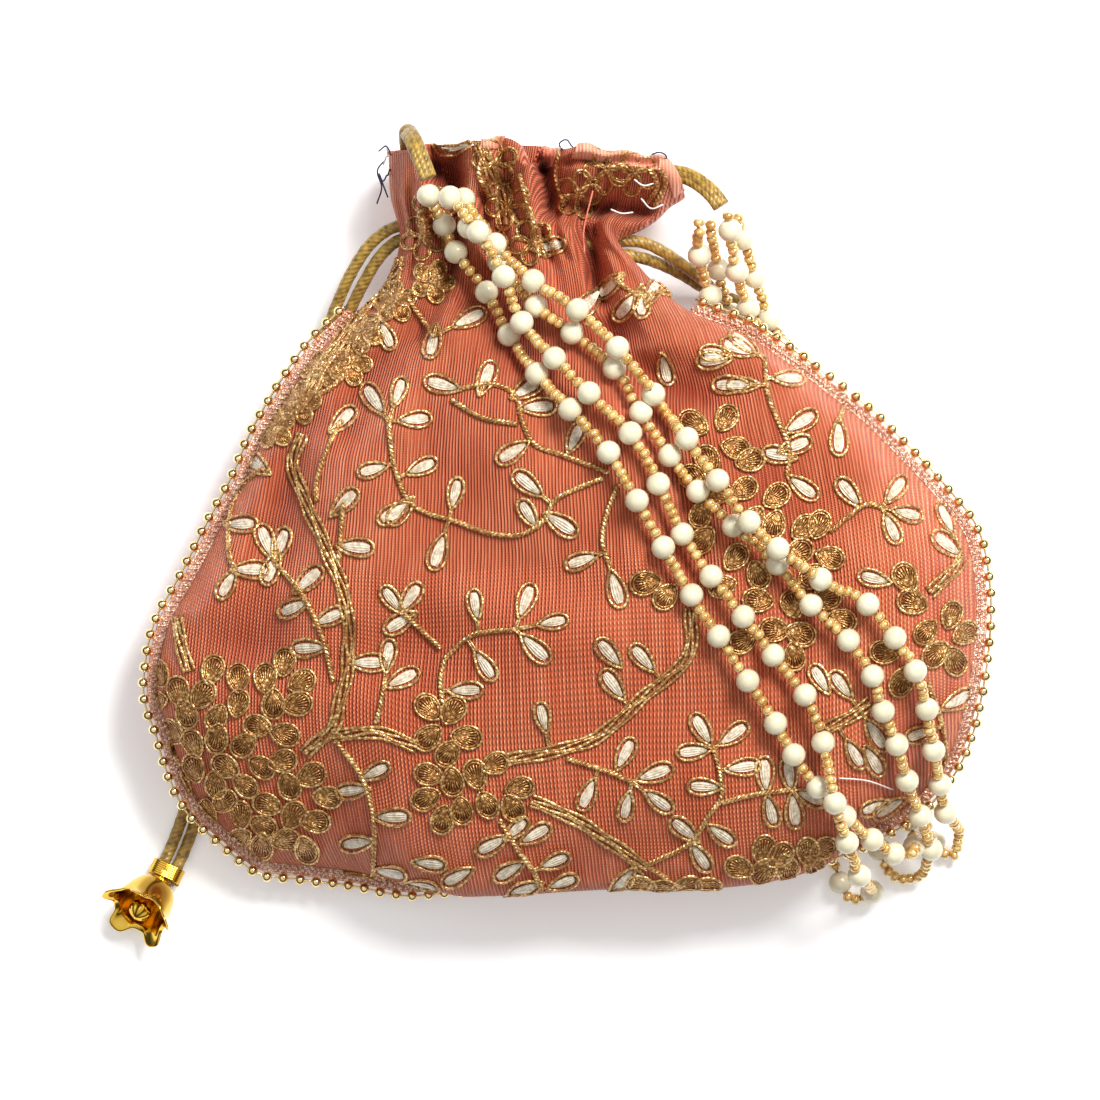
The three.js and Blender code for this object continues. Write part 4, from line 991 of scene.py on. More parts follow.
leaves = [
    (377, 402), (401, 395), (417, 422), (345, 422), (377, 471), (424, 469), (397, 513),
    (441, 551), (348, 504), (359, 547), (445, 388), (487, 382), (527, 392), (538, 410),
    (514, 454), (574, 441), (457, 495), (529, 486), (529, 515), (560, 524), (405, 511),
    (581, 560), (614, 587), (663, 372), (435, 344), (388, 337), (258, 464), (243, 524),
    (254, 569), (232, 583), (270, 542), (284, 545), (276, 567), (312, 580), (299, 606),
    (334, 616), (314, 646), (371, 660), (391, 654), (405, 676), (396, 599), (413, 597),
    (404, 620), (477, 604), (526, 600), (552, 620), (535, 645), (486, 662), (467, 687),
    (608, 651), (641, 656), (612, 682), (543, 714), (623, 750), (587, 789), (652, 769),
    (625, 801), (656, 796), (493, 840), (535, 830), (516, 825), (510, 867), (554, 858),
    (562, 880), (526, 887), (378, 768), (356, 787), (394, 813), (359, 841), (390, 872),
    (355, 889), (430, 860), (459, 873), (421, 886), (699, 726), (729, 731), (691, 747),
    (738, 763), (702, 782), (683, 826), (718, 830), (698, 853), (761, 771), (785, 771),
    (767, 806), (790, 806), (806, 793), (623, 879), (735, 352), (711, 364), (728, 388),
    (740, 388), (784, 381), (795, 425), (789, 448), (775, 457), (797, 488), (833, 439),
    (843, 494), (889, 491), (900, 514), (884, 528), (868, 578), (942, 519), (942, 545),
    (815, 677), (836, 683), (849, 750), (868, 757), (870, 731), (953, 699), (916, 731),
    (872, 804), (888, 806), (610, 288), (626, 309), (650, 297), (589, 305), (672, 285),
    (741, 346), (713, 357), (640, 305), (455, 150), (500, 250), (548, 250), (470, 322),
]
petals = [
    (217, 668), (243, 676), (270, 676), (289, 660), (306, 679), (278, 701), (302, 701),
    (243, 701), (182, 690), (207, 693), (190, 712), (221, 715), (174, 731), (262, 723),
    (289, 731), (196, 742), (221, 736), (248, 742), (286, 758), (196, 767), (229, 764),
    (265, 764), (314, 772), (330, 794), (292, 783), (218, 783), (248, 783), (270, 802),
    (295, 813), (317, 819), (243, 813), (226, 800), (265, 824), (262, 846), (286, 838),
    (307, 849), (431, 704), (455, 707), (431, 733), (468, 733), (450, 749), (431, 770),
    (454, 777), (428, 794), (463, 806), (444, 815), (477, 770), (496, 759), (520, 783),
    (488, 800), (513, 803), (690, 426), (722, 421), (731, 450), (739, 490), (771, 497),
    (697, 515), (769, 525), (798, 528), (813, 525), (793, 552), (824, 557), (699, 540),
    (731, 557), (753, 574), (753, 599), (787, 603), (769, 628), (795, 632), (738, 639),
    (789, 654), (820, 597), (835, 619), (643, 582), (663, 595), (898, 577), (905, 601),
    (945, 614), (960, 632), (919, 630), (929, 652), (949, 659), (895, 679), (878, 650),
    (761, 846), (777, 852), (737, 864), (762, 868), (785, 865), (805, 848), (820, 846),
    (813, 864), (640, 884), (662, 888), (686, 884), (708, 886), (704, 462), (748, 520),
    (718, 585), (806, 575), (770, 556), (712, 494), (745, 462), (690, 480), (156, 700),
    (160, 672), (164, 760), (178, 790), (206, 812), (240, 838),
]
small_flowers = [
    (434, 284), (396, 304), (364, 334), (352, 366), (322, 372), (302, 404), (276, 428),
]
open_flowers = [
    (424, 240), (496, 168), (509, 210), (532, 246), (578, 198), (606, 174), (634, 176),
    (436, 212), (372, 300),
]
# For both gold threads, the palest shade is painted highlight on the wire's turns and the darkest
# painted shade between them
zari = metallic_thread(
    "zari_thread",
    [(0.0, (1.0, 0.86, 0.52)), (0.36, (0.83, 0.56, 0.23)), (0.7, (0.4, 0.19, 0.06))],
    grain=1300.0,
    metallic=0.6,
    roughness=0.3,
)
dark_zari = metallic_thread(
    "dark_zari_thread",
    [(0.0, (1.0, 0.74, 0.36)), (0.32, (0.68, 0.41, 0.14)), (0.65, (0.32, 0.14, 0.04))],
    grain=1300.0,
    metallic=0.65,
    roughness=0.32,
)
cream_satin = plain_finish(
    "cream_satin",
    (0.76, 0.68, 0.53),
    (0.48, 0.38, 0.25),
    grain=900.0,
    Roughness=0.38,
    Sheen_Weight=0.3,
)
thread_radius = 0.00042
stem_step = 0.0005


def draped(places, lift):
    """The places on the cloth, raised by the lift."""
    return onto_cloth(places) + (0, 0, lift)


def aside_of(line):
    """The level way across a line at each of its points."""
    along = unit(np.gradient(line, axis=0) * (1, 1, 0))
    return np.stack([-along[:, 1], along[:, 0], 0 * along[:, 0]], -1)


def twisted_stem(shape, points, radius=thread_radius, turn=0.0021):
    """Two threads that wind round each other along the line, one turn in each turn length."""
    line = draped(Line(spots(points)).even(stem_step), radius)
    aside = aside_of(line)
    way = np.arange(len(line)) * stem_step
    for phase in (0, math.pi):
        angle = way / turn * math.tau + phase
        swing = aside * np.sin(angle)[:, None] * radius
        swing[:, 2] += np.cos(angle) * radius * 0.7 + radius * 0.5
        shape.tube(line + swing, radius, sides=5)


stem_shape = Shape()
for points in stems:
    twisted_stem(stem_shape, points)

branch_threads = 4
branch_pitch = 2.1
branch_wander = 0.00025
branch_shape = Shape()
for points in branches:
    middle = Line(spots(points)).even(0.0006)
    for k in range(branch_threads):
        offset = (k - (branch_threads - 1) / 2) * thread_radius * branch_pitch
        wander = branch_wander * np.sin(np.arange(len(middle)) * 0.31 + k * 2.3)
        lane = middle + aside_of(middle) * (offset + wander)[:, None]
        lane = draped(lane, thread_radius * (1.1 + 0.5 * (k % 2)))
        beat = 1 + 0.22 * np.sin(np.arange(len(lane)) * 1.9 + k)
        branch_shape.tube(lane, thread_radius * 1.12 * beat, sides=5)


def leaf_foot(middle):
    """The place on a stem or branch that a leaf grows from: the nearest one."""
    best = None
    for points in stems + branches:
        line = Line(spots(points), steps=6).points[:, :2]
        away = np.linalg.norm(line - middle, axis=1)
        if best is None or away.min() < best[0]:
            best = (away.min(), line[int(away.argmin())])
    return best[1]


leaf_length = 0.0094
leaf_width = 0.0056
fill_share = 0.56
stalk_reach = 0.007
fill_height = 0.0006
fill_ridges = 0.00017
leaf_fill = Shape()
leaf_outline = Shape()


def leaf_half(t):
    """Half a leaf's width at the angle t: round at the tip, narrow at the foot."""
    return np.sin(t) * np.abs(np.sin(t / 2)) ** 0.8 * leaf_width / 2


for place in leaves:
    middle = np.array(spot(place))[:2]
    foot = leaf_foot(middle)
    way = unit(middle - foot + 1e-6)
    cross = np.array([-way[1], way[0]])
    size = 0.84 + 0.22 * rng.random()
    t = np.linspace(0, math.tau, 34)
    along = -np.cos(t) * leaf_length / 2 * size
    across = leaf_half(t) * size
    ring = middle + along[:, None] * way + across[:, None] * cross
    beat = 1 + 0.2 * np.sin(np.arange(len(ring)) * 2.2)
    leaf_outline.tube(draped(ring, thread_radius * 1.3), thread_radius * beat, sides=6)
    if np.linalg.norm(ring[0] - foot) < stalk_reach:
        share = np.linspace(0, 1, 9)[:, None]
        for shift in (-0.6, 0.6):
            stalk = ring[0] + (foot - ring[0]) * share + cross * shift * thread_radius
            leaf_outline.tube(draped(stalk, thread_radius * 1.3), thread_radius * 0.8, sides=5)
    s = np.linspace(0.08, 0.95, 9)[:, None]
    a = np.linspace(-1, 1, 17)[None]
    t = np.arccos(1 - 2 * s)
    half = leaf_half(t) * size * fill_share
    xy = middle + ((s - 0.5) * leaf_length * size * 0.86)[..., None] * way
    xy = xy + (a * half)[..., None] * cross
    lift = fill_height * np.sqrt(1 - 0.85 * a**2) * np.sqrt(half / half.max())
    lift = lift + fill_ridges * np.cos(a * math.pi * 4) + 0.00005
    fill = onto_cloth(xy)
    fill[..., 2] += lift
    fill[..., 2] = np.maximum(fill[..., 2], np.median(fill[..., 2]) - leaf_length / 2)
    leaf_fill.grid(fill[:, ::-1])

petal_shape = Shape()
petal_fill = Shape()
petal_length = 0.0074
petal_width = 0.0062
stitches = 9
stitch_fan = 2.5
flower_petals = 5


def petal(middle, way, size=1.0, filled=True):
    """Two rings of thread and a fan of stitches from the foot, or two stitches if not filled."""
    cross = np.array([-way[1], way[0]])
    t = np.linspace(0, math.tau, 22)
    for shrink in (1.0, 0.8):
        ring = middle - np.cos(t)[:, None] * way * petal_length / 2 * size * shrink
        half = np.sin(t) * np.abs(np.sin(t / 2)) ** 0.35 * petal_width / 2 * size * shrink
        ring = ring + half[:, None] * cross
        outer = shrink == 1.0
        lift = thread_radius * (1.5 if outer else 1.0)
        beat = 1 + 0.15 * np.sin(np.arange(len(ring)) * 2.2)
        (petal_shape if outer else petal_fill).tube(
            draped(ring, lift), thread_radius * (0.85 if outer else 0.7) * beat, sides=5
        )
    foot = middle - way * petal_length * 0.42 * size
    for k in range(stitches if filled else 2):
        angle = (k / (stitches - 1) - 0.5) * stitch_fan
        tip = middle + (way * math.cos(angle) + cross * math.sin(angle)) * petal_width * 0.4 * size
        share = np.linspace(0, 1, 5)[:, None]
        stitch = draped(foot + (tip - foot) * share, thread_radius * 0.9)
        petal_fill.tube(stitch, thread_radius * 0.62, sides=4)


petal_middles = spots(petals)[:, :2]
for i, middle in enumerate(petal_middles):
    away = np.linalg.norm(petal_middles - middle, axis=1)
    close = np.argsort(away)[1:4]
    towards = petal_middles[close].mean(0) - middle
    petal(middle, -unit(towards + 1e-5), 0.95 + 0.12 * rng.random())
flower_sizes = [(small_flowers, 0.0029, 0.72, True), (open_flowers, 0.003, 0.76, False)]
for places, reach, size, filled in flower_sizes:
    for place in places:
        middle = np.array(spot(place))[:2]
        start = rng.random() * math.tau
        for k in range(flower_petals):
            angle = start + k * math.tau / flower_petals
            way = np.array([math.cos(angle), math.sin(angle)])
            petal(middle + way * reach, way, size, filled)
sewn = [
    (stem_shape, "embroidered_stems", "_sprig"),
    (branch_shape, "embroidered_branches", "_branch"),
    (petal_shape, "embroidered_petals", "_flowers"),
]
for shape, name, ending in sewn:
    shape.object(name, zari, "zari_embroidery", [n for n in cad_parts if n.endswith(ending)])
petal_fill.object("petal_stitches", dark_zari, "zari_embroidery")
leaf_outline.object("leaf_outlines", zari, "zari_embroidery")
leaf_fill.object("leaf_fillings", cream_satin, "zari_embroidery")


# Drawstrings
# Two braided satin cords. Each goes once round the neck inside the tunnel and leaves it on
# its own side with both ends, which lie under the bag as far as their tassel.
cord_diameter = 0.003
drawstring_ends = {
    "left_drawstring_end_1": [
        (-0.0387, 0.0742, 0.0170), (-0.0440, 0.0734, 0.0170), (-0.0495, 0.0696, 0.0160),
        (-0.0545, 0.0625, 0.0135), (-0.0586, 0.0540, 0.0100), (-0.0630, 0.0430, 0.0060),
        (-0.0680, 0.0300, 0.0025), (-0.0750, 0.0120, 0.0017), (-0.0830, -0.0080, 0.0017),
        (-0.0900, -0.0300, 0.0017), (-0.0943, -0.0520, 0.0017), (-0.0965, -0.0700, 0.0017),
        (-0.1005, -0.0820, 0.0019), (-0.1042, -0.0896, 0.0035),
    ],
    "left_drawstring_end_2": [
        (-0.0387, 0.0708, 0.0170), (-0.0430, 0.0700, 0.0170), (-0.0472, 0.0664, 0.0160),
        (-0.0514, 0.0600, 0.0135), (-0.0554, 0.0522, 0.0100), (-0.0596, 0.0416, 0.0060),
        (-0.0646, 0.0288, 0.0025), (-0.0716, 0.0108, 0.0017), (-0.0796, -0.0092, 0.0017),
        (-0.0865, -0.0310, 0.0017), (-0.0908, -0.0526, 0.0017), (-0.0931, -0.0710, 0.0017),
        (-0.0974, -0.0836, 0.0019), (-0.1012, -0.0914, 0.0035),
    ],
    "right_drawstring_end_1": [
        (0.0079, 0.0692, 0.0170), (0.0130, 0.0700, 0.0174), (0.0185, 0.0696, 0.0172),
        (0.0238, 0.0672, 0.0155), (0.0290, 0.0638, 0.0130), (0.0340, 0.0602, 0.0090),
        (0.0386, 0.0556, 0.0052), (0.0425, 0.0502, 0.0022), (0.0475, 0.0442, 0.0017),
        (0.0565, 0.0360, 0.0017), (0.0690, 0.0235, 0.0017), (0.0787, 0.0070, 0.0017),
        (0.0839, -0.0090, 0.0017), (0.0856, -0.0190, 0.0020), (0.0864, -0.0286, 0.0033),
    ],
    "right_drawstring_end_2": [
        (0.0079, 0.0658, 0.0170), (0.0125, 0.0666, 0.0170), (0.0175, 0.0660, 0.0156),
        (0.0230, 0.0644, 0.0122), (0.0284, 0.0620, 0.0086), (0.0334, 0.0592, 0.0050),
        (0.0386, 0.0572, 0.0019), (0.0445, 0.0546, 0.0017), (0.0495, 0.0502, 0.0017),
        (0.0545, 0.0450, 0.0017), (0.0615, 0.0375, 0.0017), (0.0724, 0.0250, 0.0017),
        (0.0821, 0.0080, 0.0017), (0.0873, -0.0100, 0.0017), (0.0890, -0.0195, 0.0020),
        (0.0898, -0.0288, 0.0033),
    ],
}
tunnel_half_width = 0.016
tunnel_half_height = 0.0066
drawstring_rows = {"left": neck_middle[1] + 0.0028, "right": neck_middle[1] - 0.0022}
leg_spread = 0.0017
leg_start = 0.0233
tunnel_gap_angle = 0.75
braid_depth = 0.025


def wound_satin(name, color, shade, pitch):
    """Satin fibres that wind round a cord."""
    material, tree, shader = nodes_of(name, Roughness=0.34, Sheen_Weight=0.1)
    cord = wire(tree, "ShaderNodeUVMap", uv_map="flat").outputs["UV"]
    parts = wire(tree, "ShaderNodeSeparateXYZ", {"Vector": cord})
    lead = math_node(tree, "MULTIPLY_ADD", parts.outputs["Y"], 1 / pitch, parts.outputs["X"])
    fibres = math_node(tree, "SINE", math_node(tree, "MULTIPLY", lead, 5 * math.tau))
    place = wire(tree, "ShaderNodeTexCoord").outputs["Object"]
    patch = effect(tree, drift, Place=place, Grain=600.0)["Tone"]
    tone = math_node(tree, "MULTIPLY_ADD", fibres, 0.05, patch)
    tree.links.new(ramp(tree, tone, [(0.3, shade), (0.68, color)]), shader.inputs["Base Color"])
    bump(tree, shader, fibres, 0.00005)
    return material


satin = wound_satin("satin_cord", (0.5, 0.31, 0.055), (0.17, 0.095, 0.015), pitch=0.007)


def cord_shape(points, name, replaced):
    """A round cord whose braid makes it a little thicker and thinner by turns."""
    line = Line(points).even(0.0005)
    shape = Shape()
    beat = 1 + braid_depth * np.sin(np.arange(len(line)) * 0.9)
    shape.tube(line, cord_diameter / 2 * beat, sides=14)
    return shape.object(name, satin, "satin_cord", replaced), line


for side, sign in (("left", -1), ("right", 1)):
    row = drawstring_rows[side]
    angles = np.linspace(tunnel_gap_angle, math.tau - tunnel_gap_angle, 11)
    end = leg_start - gap
    turn = np.stack(
        [
            neck_middle[0] + sign * tunnel_half_width * np.cos(angles),
            mix(row + leg_spread, row - leg_spread, np.linspace(0, 1, 11)),
            neck_middle[2] + tunnel_half_height * np.sin(angles),
        ],
        -1,
    )
    ends = [
        [
            (neck_middle[0] + sign * reach, row + shift, neck_middle[2])
            for reach in (end, end - 0.003)
        ]
        for shift in (leg_spread, -leg_spread)
    ]
    cord_shape(
        np.vstack([ends[0], turn, ends[1][::-1]]),
        f"{side}_drawstring_in_tunnel",
        [f"{side}_drawstring_round_neck"],
    )


# Tassels
# On each cord's two ends, gold thread wound round both, and below it a stamped flower bell of
# five cupped petals with a bud inside.
binding_length = 0.004
binding_wall = 0.0008
binding_turns = 7
tassel_diameter = 0.0175
tassel_length = 0.013
tassel_wall = 0.0006
tassel_petals = 5
bud_diameter = 0.0064
bud_length = 0.0095
bell_sides = 40
bud_sides = 24
bud_ribs = 6
groove_share = 0.82
tassel_ways = {"left": np.array([-0.46, -0.61, 0.64]), "right": np.array([0.02, -0.9, 0.42])}
# Each line is a share of the length, and the radius there as a share of the rim's
bell_line = [
    (0.0, 0.05), (0.02, 0.26), (0.12, 0.5), (0.3, 0.64), (0.55, 0.72), (0.76, 0.8), (0.9, 0.94),
    (1.0, 1.12),
]
bud_line = [
    (0, 0.12), (0.05, 0.35), (0.4, 0.6), (0.62, 0.85), (0.75, 1), (0.9, 0.8), (1, 0.5),
    (1.06, 0.08),
]
# How near to a petal's edge each notch step reaches, and how far it goes in and down
notch_steps = [(0.93, 0.0007, 0.0007), (0.985, 0.0016, 0.0018)]
tassel_gold = plain_finish(
    "tassel_gold",
    (0.9, 0.58, 0.09),
    (0.7, 0.4, 0.04),
    grain=90.0,
    Roughness=0.14,
    Metallic=1.0,
)


def start_circle(name, sides, radius):
    """A filled ring on the floor plane, all selected in edit mode."""
    bpy.ops.object.select_all(action="DESELECT")
    bpy.ops.mesh.primitive_circle_add(vertices=sides, radius=radius, fill_type="NGON")
    made = bpy.context.active_object
    made.name = name
    bpy.ops.object.mode_set(mode="EDIT")
    bpy.ops.mesh.select_all(action="SELECT")
    return made


def draw_up(radii_and_heights):
    """Extrudes the selected ring through each (radius, height), from the first on."""
    steps = zip(radii_and_heights[:-1], radii_and_heights[1:])
    for (radius, height), (next_radius, next_height) in steps:
        bpy.ops.mesh.extrude_region_move(
            TRANSFORM_OT_translate={"value": (0, 0, next_height - height)}
        )
        bpy.ops.transform.resize(value=(next_radius / radius, next_radius / radius, 1))


def wound_binding(side, middle, way, wide):
    """Thread wound round the two ends: half a turn round one, then over to the other."""
    spread = np.linalg.norm(wide) / 2
    wide = unit(wide)
    high = np.cross(way, wide)
    angle = np.linspace(0, binding_turns * math.tau, binding_turns * 22)
    corner = np.sign(np.cos(angle)) * spread
    reach = cord_diameter / 2 + gap + binding_wall / 2
    wound = (
        middle
        - way * (np.linspace(binding_length, 0.0004, len(angle)) + gap)[:, None]
        + wide * (corner + reach * np.cos(angle))[:, None]
        + high * (reach * np.sin(angle))[:, None]
    )
    binding = Shape()
    binding.tube(wound, binding_wall / 2, sides=6)
    return binding.object(
        f"{side}_gold_binding", tassel_gold, "gold_thread", [f"{side}_cord_binding"]
    )


def flower_bell(side):
    """A cup drawn up from a small ring, with a notch pulled in between every two petals."""
    rim = tassel_diameter / 2
    cup = start_circle(f"{side}_flower_bell", bell_sides, bell_line[0][1] * rim)
    draw_up([(r * rim, t * tassel_length) for t, r in bell_line])
    bpy.ops.mesh.delete(type="ONLY_FACE")
    for k in range(tassel_petals):
        turn = math.tau * k / tassel_petals
        notch = np.array([math.cos(turn), math.sin(turn)])
        for nearness, inward, down in notch_steps:
            selected_by(
                cup.data,
                lambda co: co.z > tassel_length * 0.84
                and np.dot(notch, co.xy) > nearness * np.hypot(co.x, co.y),
            )
            bpy.ops.transform.translate(value=(*(-notch * inward), -down))
    close_up(cup)
    apply_modifier(cup, "SOLIDIFY", thickness=tassel_wall, offset=-1)
    apply_modifier(cup, "SUBSURF", levels=2)
    return cup


def flower_bud(side):
    """A closed bud with a groove between its ribs."""
    bud = start_circle(f"{side}_flower_bud", bud_sides, 0.0004)
    draw_up([(r * bud_diameter / 2, t * bud_length) for t, r in bud_line])
    step = bud_sides // bud_ribs
    turn = lambda co: round(math.atan2(co.y, co.x) / math.tau * bud_sides)
    selected_by(bud.data, lambda co: turn(co) % step == 0)
    bpy.ops.transform.resize(value=(groove_share, groove_share, 1), center_override=(0, 0, 0))
    close_up(bud)
    apply_modifier(bud, "SUBSURF", levels=1)
    return bud


def hang(made, foot, axis, node):
    """Turns a piece from upright to the axis, with its foot in place, and finishes it in gold."""
    pick(made)
    made.location = foot
    made.rotation_euler = Vector(axis).to_track_quat("Z", "Y").to_euler()
    bpy.ops.object.transform_apply(location=True, rotation=True, scale=True)
    made.data.materials.append(tassel_gold)
    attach(made, "root")
    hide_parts(node)


for side in ("left", "right"):
    first = np.array(drawstring_ends[f"{side}_drawstring_end_1"])
    second = np.array(drawstring_ends[f"{side}_drawstring_end_2"])
    way = unit(first[-1] - first[-2])
    middle = (first[-1] + second[-1]) / 2
    wide = second[-1] - first[-1]
    bound = wound_binding(side, middle, way, wide - way * (wide @ way))
    axis = unit(tassel_ways[side])
    seat = middle + way * gap * 3.5
    cup = flower_bell(side)
    bud = flower_bud(side)
    hang(cup, seat, axis, f"{side}_tassel_bell")
    hang(bud, seat + axis * (tassel_length * 0.18 + gap), axis, f"{side}_tassel_bud")

for name, points in drawstring_ends.items():
    side = name.split("_")[0]
    made, line = cord_shape(points, name.replace("drawstring", "satin"), [name])


# Handle
# Four strings of round pearls with amber seed beads between them, which carry the bag. They
# leave the left loop, cross the front, turn under the lower right edge and come out again
# beside the neck, at the right loop.
pearl_diameter = 0.006
pearl_pitch = 0.0129
seed_diameter = 0.0029
seed_pitch = 0.0021
turn_seeds = 0.027
strand_thread = 0.0008
strand_step = 0.003
strand_spacing = pearl_diameter + gap
sewn_height = 0.0012
touch_reach = pearl_diameter * 0.36
steepest = 1.1
closest_pearls = 1.02
last_pearl = 0.6
seed_waver = 0.00012
seed_tilt = 0.12
# Each strand's first list lies on the front and takes its heights from the cloth, and its
# second one goes on under the bag.
strands = {
    "handle_strand_3": (
        [
            (470, 232), (500, 266), (536, 311), (571, 337), (613, 373), (638, 416), (666, 458),
            (694, 493), (728, 526), (771, 563), (804, 603), (841, 638), (865, 673), (876, 708),
            (890, 740), (902, 777), (918, 814), (932, 850),
        ],
        [
            (922, 880, 0.0040), (897, 880, 0.0032), (880, 846, 0.0032), (858, 785, 0.0032),
            (834, 715, 0.0032), (811, 630, 0.0032), (797, 540, 0.0032), (791, 460, 0.0032),
            (781, 395, 0.0040), (753, 345, 0.0066), (733, 312, 0.0070), (722, 280, 0.0110),
            (714, 250, 0.0180), (709, 224, 0.0245),
        ],
    ),
    "handle_strand_4": (
        [
            (465, 205), (496, 250), (533, 286), (576, 315), (616, 354), (650, 398), (682, 441),
            (713, 483), (742, 522), (771, 549), (813, 578), (860, 603), (886, 635), (907, 668),
            (920, 707), (928, 747), (937, 783), (945, 812),
        ],
        [
            (962, 838, 0.0060), (957, 858, 0.0032), (940, 848, 0.0032), (920, 790, 0.0032),
            (890, 715, 0.0032), (866, 630, 0.0032), (851, 540, 0.0032), (843, 460, 0.0032),
            (835, 395, 0.0040), (800, 358, 0.0066), (773, 322, 0.0070), (760, 288, 0.0110),
            (747, 255, 0.0190), (735, 217, 0.0265),
        ],
    ),
    "handle_strand_1": (
        [
            (430, 200), (445, 228), (457, 256), (487, 295), (510, 339), (537, 378), (570, 414),
            (607, 456), (634, 502), (660, 548), (687, 593), (714, 634), (743, 678), (770, 719),
            (788, 750), (812, 782), (840, 812), (868, 836), (892, 852),
        ],
        [
            (912, 852, 0.0070), (915, 832, 0.0032), (892, 790, 0.0032), (862, 715, 0.0032),
            (838, 630, 0.0032), (824, 540, 0.0032), (817, 460, 0.0032), (808, 395, 0.0040),
            (782, 352, 0.0080), (753, 317, 0.0115), (740, 285, 0.0160), (731, 252, 0.0218),
            (726, 218, 0.0260),
        ],
    ),
    "handle_strand_2": (
        [
            (452, 205), (480, 240), (504, 282), (522, 327), (554, 363), (588, 398), (628, 437),
            (655, 486), (678, 534), (707, 576), (738, 615), (767, 652), (799, 692), (817, 738),
            (828, 797), (841, 836), (856, 872),
        ],
        [
            (872, 898, 0.0032), (854, 904, 0.0032), (840, 876, 0.0032), (826, 800, 0.0032),
            (806, 715, 0.0032), (784, 630, 0.0032), (770, 540, 0.0032), (765, 460, 0.0032),
            (755, 395, 0.0040), (730, 345, 0.0075), (716, 310, 0.0115), (703, 275, 0.0160),
            (697, 246, 0.0210), (697, 222, 0.0235),
        ],
    ),
}
pearl_finish = plain_finish(
    "pearl",
    (0.8, 0.74, 0.54),
    (0.7, 0.63, 0.43),
    grain=160.0,
    Roughness=0.28,
    Coat_Weight=0.6,
    Coat_Roughness=0.08,
)
seed_finish = plain_finish(
    "amber_seed",
    (0.94, 0.66, 0.25),
    (0.62, 0.32, 0.07),
    grain=420.0,
    Roughness=0.12,
    Coat_Weight=1.0,
    Metallic=0.45,
)


def bed_height(place):
    """How high a pearl's middle stands when the pearl rests on the cloth there."""
    radius = pearl_diameter / 2 + gap / 2
    height = radius
    for k in range(9):
        reach = touch_reach if k else 0.0
        turn = math.tau * k / 8
        cloth = cloth_height(place[:2] + reach * np.array([math.cos(turn), math.sin(turn)]))
        if cloth > lowest_cloth:
            height = max(height, cloth + sewn_height + math.sqrt(radius**2 - reach**2))
    return height


def lift_off(points, places, reaches):
    """Raises each point that comes nearer to a place than its reach allows."""
    for p in points:
        for _ in range(3):
            near = np.linalg.norm(places - p, axis=1) < reaches
            if not near.any():
                break
            aside = np.linalg.norm(places[near, :2] - p[:2], axis=1)
            p[2] = (places[near, 2] + np.sqrt(reaches[near] ** 2 - aside**2)).max()


in_the_way = [trim_line.even(strand_step)]
reaches = [np.full(len(in_the_way[0]), (pearl_diameter + seam_bead) / 2 + gap)]
for points in drawstring_ends.values():
    in_the_way.append(Line(points).even(strand_step))
    reaches.append(np.full(len(in_the_way[-1]), (pearl_diameter + cord_diameter) / 2 + gap))
strand_lines = {}
for name, (over, under) in strands.items():
    front_part = Line(spots(over)).even(strand_step)
    for p in front_part:
        p[2] = bed_height(p)
    lift_off(front_part, np.vstack(in_the_way), np.concatenate(reaches))
    away = np.linalg.norm(front_part[:, None, :2] - front_part[None, :, :2], axis=-1)
    front_part[:, 2] = (front_part[None, :, 2] - steepest * away).max(1)
    lift_off(front_part, np.vstack(in_the_way), np.concatenate(reaches))
    back_part = Line(np.vstack([front_part[-1:], spots(under)])).even(strand_step)[1:]
    back_part[:, 2] = np.maximum(back_part[:, 2], pearl_diameter / 2 + gap / 2)
    lift_off(back_part, np.vstack(in_the_way), np.concatenate(reaches))
    strand_lines[name] = Line(np.vstack([front_part, back_part]), steps=6)
    in_the_way.append(strand_lines[name].even(strand_step))
    reaches.append(np.full(len(in_the_way[-1]), strand_spacing))


def ways_along(line, places):
    """The way of the line at lengths along it."""
    return line.at((places + 0.001) / line.length) - line.at((places - 0.001) / line.length)


pearl_points, pearl_faces = ball("pearl", 16, 8)
seed = start_circle("amber_seed", 10, 0.62)
draw_up([(0.62, -0.5), (1.0, -0.24), (1.0, 0.24), (0.62, 0.5)])
bpy.ops.mesh.select_all(action="SELECT")
bpy.ops.transform.translate(value=(0, 0, -0.5))
close_up(seed)
seed_points, seed_faces = pattern_of(seed)

